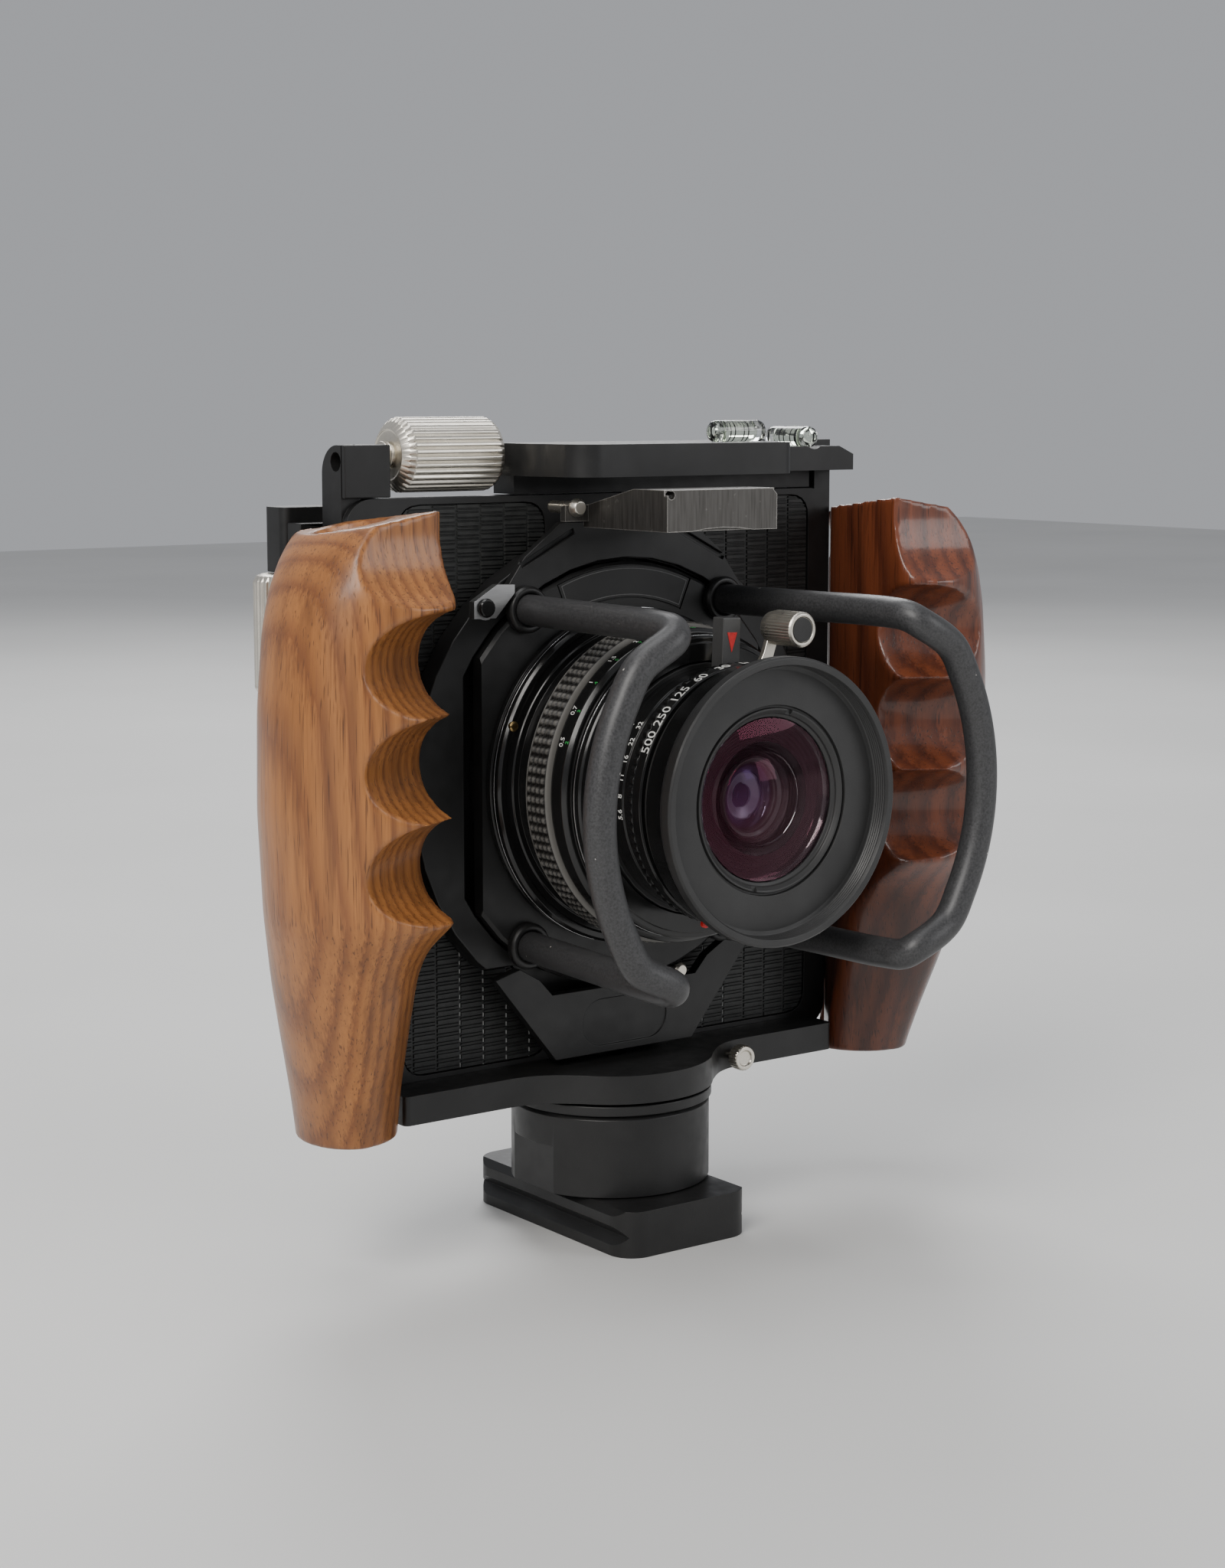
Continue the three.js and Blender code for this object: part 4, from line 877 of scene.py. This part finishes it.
def focus_flange():
    radius = reach_of("focus_flange")
    low, high = span("focus_flange", Y)
    front = -11.8
    profile = [(35.4, low), (37.2, low), (37.2, front - 0.6), (38.6, front - 0.4), (38.9, front)]
    profile += [(40.6, front), (40.9, front - 0.35), (radius - 0.7, front - 0.35), (radius, front + 0.4)]
    profile += [(radius, -9.2)]
    profile += [(radius - 0.5, -9.0), (radius - 0.5, -8.4), (radius, -8.2), (radius, -6.7), (26.6, -6.7)]
    profile += [(26.6, high), (24.4, high), (24.4, front + 1.6), (35.4, front + 1.6)]
    stands_for(turned("focus_flange_fine", profile, soft=0.15), "focus_flange", look="lens_black")
    line = ring(radius - 0.1, radius + 0.05, -10.1, -9.8)
    trim_on(turned("flange_line", line, soft=0.05), "focus_flange", "polished")
    angle = math.radians(158)
    at = (radius * 0.965 * math.cos(angle), LENS_Z + radius * 0.965 * math.sin(angle))
    head = [(0, front - 0.9), (0.9, front - 0.9), (1.3, front - 0.6), (1.3, front + 0.6), (0, front + 0.6)]
    screw = lathe("flange_screw", head, at=at, segments=SMALL, soft=0.1)
    slot = block("slot", at[0] - 1.6, at[0] + 1.6, front - 1.2, front - 0.6, at[1] - 0.18, at[1] + 0.18)
    trim_on(shaded(cut(screw, slot)), "focus_flange", "brass")


# Distance of the tip from the lens axis, radius of the tip and thickness of the arm
LEVER_TIPS = {
    "cocking_lever": (42.3, 4.35, 1.6),
    "aperture_lever": (36.4, 2.0, 1.2),
    "release_lever": (38.4, 2.6, 1.4),
}


def lever(node, tilt, width, inner):
    """A thin arm that stands out from the shutter and ends in a turned tip."""
    tip_front, tip_back = span(node, Y)
    outer, tip_radius, thick = LEVER_TIPS[node]
    neck = width * 0.36
    outline = [(-width * 0.62, inner), (width * 0.62, inner), (neck, inner + 4), (neck, outer)]
    outline += [(-neck, outer), (-neck, inner + 4)]
    arm = eased(prism(f"{node}_arm", soften_points(outline, 1.2), "XZ", tip_back - thick, tip_back), 0.3)
    face = tip_radius * 0.72
    profile = [(0, tip_front + 0.35), (face, tip_front + 0.35), (face + 0.15, tip_front)]
    profile += [(tip_radius - 0.5, tip_front), (tip_radius, tip_front + 0.5)]
    profile += [(tip_radius, tip_back - thick - 0.6), (tip_radius - 0.5, tip_back), (0, tip_back)]
    count = int(tip_radius * 8)
    grooves = ribs(count, 0.22, tip_front + 0.4, tip_back - thick, 0.5)
    tip = lathe(f"{node}_tip", profile, at=(0, outer), segments=count * 5, soft=0.12, relief=grooves)
    parts = [round_lens(part, tilt) for part in (arm, tip)]
    piece = shaded(merged(f"{node}_fine", parts))
    stands_for(piece, node, look="silver")
    if node == "cocking_lever":
        profile = rod(face - 0.1, tip_front + 0.1, tip_front + 0.5)
        disc = round_lens(lathe("cocking_face", profile, at=(0, outer), segments=SMALL), tilt)
        trim_on(shaded(disc), node, "lens_satin")


def soften_points(outline, radius):
    """Rounded corners on an outline that may cross the axis."""
    offset = 1000
    moved = [(x + offset, y) for x, y in outline]
    return [(point.x - offset, point.y) for point in soften(moved, radius, 4)]


INDEX_TILT = 0.037


def index_marks():
    """The red triangle over the dials, on its block, and the red dot low on the front barrel."""
    refine("index_block", 0.35)
    front = span("index_block", Y)[0]
    outline = [(-1.5, 39.2), (1.5, 39.2), (0, 34.4)]
    triangle = prism("index_triangle", outline, "XZ", front - 0.15, front + 0.1)
    trim_on(round_lens(triangle, INDEX_TILT), "index_block", "red")
    angle = math.radians(243)
    at = (32.9 * math.cos(angle), LENS_Z + 32.9 * math.sin(angle))
    dot = [(0, -59.6), (0.7, -59.5), (1.0, -59.1), (1.0, -58.0), (0, -58.0)]
    trim_on(turned("red_dot", dot, at=at, segments=SMALL, soft=0.1), "front_barrel", "red")


# ---------- front of the body ----------

GUARD_ROD = 3.83


def guard_bar(side, node):
    """A rod bent from the panel forward and round the lens."""
    radius, leg, top, low, centre = 59, 31, 162.3, 77.5, 119.6
    back, front = -7, -76
    half = 0.78
    points = [(leg, back, top), (leg + 2.6, -40, top), (leg + 4.6, front + 9, top)]
    points += [(leg + 5.2, front + 3, top - 0.6), (leg + 7, front + 0.4, top - 2.2)]
    for i in range(1, 10):
        angle = half - 2 * half * i / 10
        points.append((radius * math.cos(angle), front, centre + radius * math.sin(angle)))
    points += [(leg + 7, front + 0.4, low + 2.4), (leg + 5.2, front + 3, low + 0.6)]
    points += [(leg + 4.6, front + 9, low), (leg + 2.6, -40, low), (leg, back, low)]
    path = catmull_rom([(side * x, y, z) for x, y, z in points], 190)
    stands_for(shaded(swept(f"{node}_fine", path, GUARD_ROD)), node)
    hubs = []
    for z in (top, low):
        hub = [(4.0, -6.6), (5.9, -6.6), (5.9, -8.2), (5.3, -9.0), (4.5, -9.0), (4.0, -8.6)]
        hubs.append(lathe("hub", hub, at=(side * leg, z), segments=SMALL, soft=0.25))
    trim_on(shaded(merged(f"{node}_hubs", hubs)), node, "body_metal")


def arc_plate(name, inner, outer, half, low, high, steps=48):
    outline = []
    for radius, order in ((outer, 1), (inner, -1)):
        for k in range(steps + 1)[::order]:
            angle = math.pi / 2 - half + 2 * half * k / steps
            outline.append((radius * math.cos(angle), LENS_Z + radius * math.sin(angle)))
    return prism(name, outline, "XZ", low, high)


def name_plate():
    low, high = span("name_plate", Y)
    plate = arc_plate("name_plate_fine", 45.4, 53.4, 0.4, low, high)
    stands_for(shaded(eased(plate, 0.12)), "name_plate")
    outer = arc_plate("name_plate_line", 46.0, 52.8, 0.386, low - 0.06, low + 0.05)
    inner = arc_plate("inside", 46.2, 52.6, 0.382, low - 1, low + 1)
    trim_on(shaded(cut(outer, inner)), "name_plate", "frame_line")


# ---------- covering ----------

BAR_PITCH, COLUMN_PITCH, COLUMN_GAP = 2.2, 7.1, 0.45
BAR_HEIGHT = 0.38
STITCH_REACH = 46
WINDOW_DEEP = 6


def pillow(x0, x1, y_back, y_front, z0, z1, slope=0.18):
    """A small block whose front is narrower than its back."""
    points = [(x0, y_back, z0), (x1, y_back, z0), (x1, y_back, z1), (x0, y_back, z1)]
    points += [(x0 + slope, y_front, z0 + slope), (x1 - slope, y_front, z0 + slope)]
    points += [(x1 - slope, y_front, z1 - slope), (x0 + slope, y_front, z1 - slope)]
    faces = [(0, 1, 2, 3), (4, 5, 6, 7), (0, 1, 5, 4), (1, 2, 6, 5), (2, 3, 7, 6), (3, 0, 4, 7)]
    return points, faces


def covering(node):
    """A moulded covering of stacked bars in staggered columns, clipped to its window."""
    low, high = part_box(node)
    x0, y0, z0 = low / MM
    x1, y1, z1 = high / MM
    points, faces = [], []
    stitches, stitch_faces = [], []
    first = math.floor(x0 / COLUMN_PITCH)
    front = y0 - BAR_HEIGHT
    for column in range(first, math.ceil(x1 / COLUMN_PITCH) + 1):
        left = column * COLUMN_PITCH - 2.0
        stagger = 0.5 * BAR_PITCH * (column % 2)
        for row in range(int((z1 - z0) / BAR_PITCH) + 3):
            base = z0 + (row - 1) * BAR_PITCH + stagger
            right = left + COLUMN_PITCH - COLUMN_GAP
            for bottom, top in ((0.0, 1.2), (1.4, 2.02)):
                bar, bar_faces = pillow(left, right, y0 + 0.1, front, base + bottom, base + top)
                faces += [[len(points) + v for v in face] for face in bar_faces]
                points += bar
            if abs(left) > STITCH_REACH:
                continue
            low_z, high_z = base + 0.2, base + 1.3
            stitch, bar_faces = pillow(left - 0.36, left - 0.1, y0 + 0.1, front + 0.05, low_z, high_z, 0.06)
            stitch_faces += [[len(stitches) + v for v in face] for face in bar_faces]
            stitches += stitch
    slab = copy_of(node, "slab")
    window = copy_of(node, "window")
    window.data.transform(Matrix.Translation((0, -0.2 * MM, 0)) @ Matrix.Diagonal((1, WINDOW_DEEP, 1, 1)))
    window.data.transform(Matrix.Translation((0, (y0 + y1) / 2 * MM * (1 - WINDOW_DEEP), 0)))
    bars = common(add_piece("bars", points, faces), window)
    stands_for(shaded(merged(f"{node}_fine", [slab, bars])), node)
    if "lower" in node:
        window = copy_of(node, "window")
        window.data.transform(Matrix.Diagonal((1, WINDOW_DEEP, 1, 1)))
        window.data.transform(Matrix.Translation((0, (y0 + y1) / 2 * MM * (1 - WINDOW_DEEP), 0)))
        sewn = common(add_piece(f"{node}_stitches", stitches, stitch_faces), window)
        trim_on(sewn, node, "thread")


# ---------- grips ----------

GRIP_REACH = (
    (36, 94.5), (48, 97), (62, 100.5), (77, 104), (93, 107), (118, 108.3), (142, 107.8), (160, 106),
    (170, 103.6), (178, 99.6), (184, 94), (188.4, 87),
)
GRIP_INNER_FRONT = (
    (36, -9.7), (48, -11.7), (62, -15.5), (77, -19.9), (84, -24.5), (88.5, -31), (93, -37.8), (100, -38.6),
    (188.4, -37.6),
)
GRIP_OUTER_FRONT = ((36, -19), (48, -23), (62, -28), (77, -33), (84, -36), (93, -39.4), (188.4, -39.4))
GRIP_RIDGE, GRIP_PITCH = 165.4, 24.2
GRIP_BOTTOM, GRIP_TOP = 36, 188.4
GRIP_INSIDE, GRIP_REAR_INSIDE, GRIP_WIDTH = 70, 76.2, 38.3
GRIP_FRONT, GRIP_BACK = -39.4, 13.6
GROOVE_HALF_HEIGHT, GROOVE_DEPTH = 12.7, 16
SHOULDER_AT, SHOULDER_SLOPE = (76.7, -37.6, 188.2), (0.17, 0.08)
THUMB_HOLLOW, THUMB_SIZE = (86, -12, 188), (10, 11, 7.5)


def flowing(stops, height, blur=2.5):
    """The listed value at a height, with the turns at its stops rounded off."""
    heights, values = zip(*stops)
    around = np.linspace(-blur, blur, 7) + height
    return float(np.mean(np.interp(around, heights, values)))


def grip_ring(z, side):
    """The grip's outline at one height, seen from above, from its inner front corner round the palm."""
    reach = flowing(GRIP_REACH, z)
    inner = flowing(GRIP_INNER_FRONT, z)
    outer = flowing(GRIP_OUTER_FRONT, z)
    edge = reach_of("body_plate") + 0.3
    face = span("body_plate", Y)[0] - 0.3
    squeeze = (GRIP_BACK - outer) / (GRIP_BACK - GRIP_FRONT)

    def at(y):
        return outer + (y - GRIP_FRONT) * squeeze

    def out(x):
        return GRIP_INSIDE + (x - GRIP_INSIDE) * (reach - GRIP_INSIDE) / GRIP_WIDTH

    skin = [
        (GRIP_INSIDE, inner + 4.5), (GRIP_INSIDE + 1.4, inner + 0.8),
        (out(78), inner * 0.7 + outer * 0.3 - 1), (out(85.5), inner * 0.35 + outer * 0.65 - 0.6),
        (out(97), at(-36.4)), (out(105.4), at(-28.8)), (reach, at(-17)), (out(105.9), at(-4)),
        (out(99.4), at(5)), (out(89), at(10.8)), (edge, GRIP_BACK),
    ]
    outline = [tuple(point) for point in catmull_rom(skin, 61)]
    outline += [(edge, face), (GRIP_REAR_INSIDE, face)]
    return [(side * x, y, z) for x, y in outline]


def groove_tool(start, end, z, half_height, depth, side):
    """A long oval rod that scoops a groove across the grip."""
    start, end = Vector((*start, z)), Vector((*end, z))
    up = Vector((0, 0, 1))
    across = (end - start).normalized().cross(up)
    sides = 72
    points = []
    for place in (start, end):
        for k in range(sides):
            angle = 2 * math.pi * k / sides
            point = place + up * half_height * math.cos(angle) + across * depth * math.sin(angle)
            points.append((side * point.x, point.y, point.z))
    return add_piece("groove", points, tube_faces(2, sides))


def grip(side, node):
    """A hand-shaped grip: a lofted block with finger grooves, a sloping shoulder and a thumb hollow."""
    heights = np.linspace(GRIP_BOTTOM, GRIP_TOP, 64)
    rings = [grip_ring(z, side) for z in heights]
    points = [point for one in rings for point in one]
    body = add_piece(f"{node}_fine", points, tube_faces(len(rings), len(rings[0])))
    tools = []
    for i in range(3):
        z = GRIP_RIDGE - GRIP_PITCH * (i + 0.5)
        tools.append(groove_tool((50, -27.5), (112, -64.5), z, GROOVE_HALF_HEIGHT, GROOVE_DEPTH, side))
    tools.append(groove_tool((50, -43), (120, -49), 184.4, 19.2, 15, side))
    half_circle = [math.pi * k / 24 for k in range(25)]
    ball = [(math.sin(angle), -math.cos(angle)) for angle in half_circle]
    hollow = lathe("hollow", ball, axis="Z", at=(0, 0), segments=64, soft=0)
    x, y, z = THUMB_HOLLOW
    place = Matrix.Translation((side * x * MM, y * MM, z * MM))
    hollow.data.transform(place @ Matrix.Diagonal((*THUMB_SIZE, 1)))
    above = block("above", -60, 60, -60, 90, 0, 30)
    x, y, z = SHOULDER_AT
    slope_x, slope_y = SHOULDER_SLOPE
    rows = ((1, 0, 0, side * x * MM), (0, 1, 0, y * MM), (-side * slope_x, -slope_y, 1, z * MM), (0, 0, 0, 1))
    above.data.transform(Matrix(rows))
    pocket = block("pocket", *sorted((side * 75, side * 85.3)), 8.7, 30, 51.7, 68.3)
    cut(body, above, pocket, *tools, hollow, solver="MANIFOLD")
    remesh = body.modifiers.new("even", "REMESH")
    remesh.mode = "VOXEL"
    remesh.voxel_size = 0.7 * MM
    smooth = body.modifiers.new("soft", "SMOOTH")
    smooth.factor = 0.5
    smooth.iterations = 7
    settle(body)
    shaded(body, 60)
    stands_for(body, node, look="wood_left" if side < 0 else "wood_right")


# ---------- knobs, levels and screws ----------

KNOB_RIBS = 32
KNOB_LENGTH = {"X": 29.5, "Z": 30}


def big_knob(node, axis):
    """A straight-knurled knob with rounded ends and its shaft. The one along X has a collar too."""
    line = {"X": X, "Z": Z}[axis]
    low, high = span(node, line)
    others = [k for k in (X, Y, Z) if k != line]
    at = (middle(node, others[0]), middle(node, others[1]))
    radius = reach_of(node, Y)
    length = KNOB_LENGTH[axis]
    if axis == "X":
        start, end = high - length, high
        profile = [(0, low), (2, low), (2, start - 2), (3.4, start - 2), (3.4, start - 1.2)]
        profile += [(3.0, start - 1.0), (3.4, start - 0.8), (3.4, start - 0.3), (2.8, start - 0.2)]
        profile += [(2.8, start + 0.3), (radius - 3.2, start + 0.3), (radius - 2.8, start)]
        profile += [(radius - 0.9, start + 1.5), (radius, start + 2.8), (radius, end - 1.8)]
        profile += [(radius - 0.8, end - 0.5), (radius - 2.2, end), (radius - 4.6, end)]
        profile += [(radius - 5, end - 0.5), (0, end - 0.5)]
    else:
        start, end = low, low + length
        profile = [(0, start + 0.5), (radius - 5, start + 0.5), (radius - 4.6, start), (radius - 2.2, start)]
        profile += [(radius - 0.8, start + 0.5), (radius, start + 1.8), (radius, end - 1.8)]
        profile += [(radius - 0.8, end - 0.5), (radius - 2.2, end), (2, end), (2, high), (0, high)]
    stretched = []
    for first, second in zip(profile, profile[1:]):
        stretched.append(first)
        if first[0] == second[0] == radius:
            stretched.append((radius, first[1] + 0.7))
            stretched.append((radius, second[1] - 0.7))
    stretched.append(profile[-1])
    count = KNOB_RIBS
    grooves = ribs(count, 0.55, start + 0.8, end - 0.3, 1.6)

    def relief(angle, r, height):
        return grooves(angle, r, height) if r > radius - 2 else r

    body = turned(f"{node}_fine", stretched, axis=axis, at=at, segments=count * 10, soft=0.25, relief=relief)
    stands_for(body, node)


def spirit_level(node, axis):
    """A clear vial with its liquid and two marker rings."""
    line = {"X": X, "Y": Y}[axis]
    low, high = span(node, line)
    others = [k for k in (X, Y, Z) if k != line]
    at = (middle(node, others[0]), middle(node, others[1]))
    radius = reach_of(node, Z)
    settings = {"axis": axis, "at": at, "segments": 64}
    shell = [(0, low), (radius * 0.55, low), (radius * 0.9, low + 0.6), (radius, low + 1.8)]
    shell += [(r, low + high - h) for r, h in shell[::-1]]
    stands_for(turned(f"{node}_fine", shell, soft=0.6, **settings), node)
    inner = [(0, low + 3), (radius - 1.5, low + 3), (radius - 0.9, low + 4)]
    inner += [(radius - 0.9, high - 4), (radius - 1.5, high - 3), (0, high - 3)]
    trim_on(turned(f"{node}_liquid", inner, soft=0.5, **settings), node, "vial_liquid")
    centre = (low + high) / 2
    rings = []
    for place in (centre - 2.2, centre + 2.2):
        profile = ring(radius - 0.86, radius - 0.7, place - 0.15, place + 0.15)
        rings.append(lathe("mark", profile, soft=0, **settings))
    trim_on(shaded(merged(f"{node}_rings", rings)), node, "inside_black")


def lock_screw():
    """The foot's small thumbscrew: a knurled head on a plain shank."""
    node = "lock_screw"
    front, high = span(node, Y)
    at = (middle(node, X), middle(node, Z))
    radius = reach_of(node, X)
    profile = [(0, front + 0.5), (radius - 1.5, front + 0.5), (radius - 1.2, front), (radius - 0.4, front)]
    profile += [(radius, front + 0.5), (radius, front + 3.0), (radius - 0.5, front + 3.6), (1.4, front + 3.6)]
    profile += [(1.4, high), (0, high)]
    grooves = ribs(24, 0.28, front + 0.2, front + 3.5, 0.4)

    def relief(angle, r, height):
        return grooves(angle, r, height) if r > 2 else r

    body = turned(f"{node}_fine", profile, at=at, segments=24 * 6, soft=0.15, relief=relief)
    stands_for(body, node)


def bracket():
    """The folded sheet cover, with clipped front corners and a relief hole at the fold."""
    low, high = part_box("accessory_bracket")
    left, right, front, top = -17, 17, low.y / MM, high.z / MM
    clip = 1.5
    tools = []
    for x, inward in ((left, 1), (right, -1)):
        outside, inside = x - inward, x + inward * clip
        corner = [(x, top - clip), (inside, top), (inside, top + 1), (outside, top + 1)]
        corner.append((outside, top - clip))
        tools.append(prism("corner", corner, "XZ", front - 1, front + 1.2))
    hole = rod(1.0, front - 1, front + 3)
    tools.append(lathe("relief_hole", hole, at=(left + 1.3, top - 1.2), segments=SMALL, soft=0))
    refine("accessory_bracket", 0.15, cuts=tools)


# ---------- foot ----------

COLUMN_FLAT = 24.5


def foot_parts():
    """The turned disc, the column with its two flats and the base plate."""
    radius = reach_of("foot_disc")
    low, high = span("foot_disc", Z)
    profile = ring(4.3, radius, low, high)
    stands_for(turned("foot_disc_fine", profile, axis="Z", at=(0, 0), soft=0.35), "foot_disc")
    radius = reach_of("foot_column", Y)
    low, high = span("foot_column", Z)
    profile = [(5.3, low), (radius, low), (radius, high - 0.9), (radius - 0.9, high), (4.3, high)]
    profile += [(4.3, 17.7), (5.3, 17.7)]
    column = lathe("foot_column_fine", profile, axis="Z", at=(0, 0), soft=0)
    heights = (low - 1, high - 8.6)
    sides = [block("flat", *reach, -40, 40, *heights) for reach in ((COLUMN_FLAT, 40), (-40, -COLUMN_FLAT))]
    column = cleaned(cut(column, *sides))
    stands_for(shaded(eased(column, 0.35, angle=40)), "foot_column")
    refine("foot_plate", 0.35)


# ---------- everything ----------

looks = make_looks()
make_camera()
make_lights()
make_floor()

front_barrel()
inner_lens()
shutter_blades()
speed_ring()
shutter_housing()
focus_parts()
focus_flange()
lever("cocking_lever", 0.334, 4.4, 30.6)
lever("aperture_lever", 2.75, 4.0, 30.6)
lever("release_lever", 1.75, 5.0, 30.6)
index_marks()
for end, sign in (("left", -1), ("right", 1)):
    guard_bar(sign, f"guard_bar_{end}")
    grip(sign, f"grip_{end}")
    covering(f"insert_upper_{end}")
    covering(f"insert_lower_{end}")
name_plate()
big_knob("shift_knob", "X")
big_knob("rise_knob", "Z")
spirit_level("vial_across", "X")
spirit_level("vial_along", "Y")
lock_screw()
foot_parts()
for node, width in (
    ("body_plate", 0.6), ("top_bridge", 0.5), ("bottom_bridge", 0.5), ("ring_mount", 0.4),
    ("lens_panel", 0.4), ("upper_clip", 0.35), ("lower_clip", 0.4), ("shift_knob_block", 0.4),
    ("cross_frame", 0.4), ("rise_frame", 0.4), ("back_adapter", 0.4), ("back_latch", 0.3),
    ("rise_knob_block", 0.6), ("guide_rail_upper", 0.2), ("guide_rail_lower", 0.2),
    ("rise_guide_left", 0.2), ("rise_guide_right", 0.2), ("lens_carrier", 0.2), ("rear_barrel", 0.25),
    ("rear_element", 0.2), ("panel_screw", 0.15), ("bracket_screw", 0.2), ("grip_screw_left", 0.2),
    ("grip_screw_right", 0.2), ("pivot_bolt", 0.2), ("foot_screw_front", 0.2), ("foot_screw_rear", 0.2),
):
    refine(node, width)

bracket()
# The latch lever's light steel colour stands in for the bright highlight along it: a painted highlight.
refine("latch_lever", 0.3, look="steel")
refine("latch_pivot", 0.15, look="lens_black")
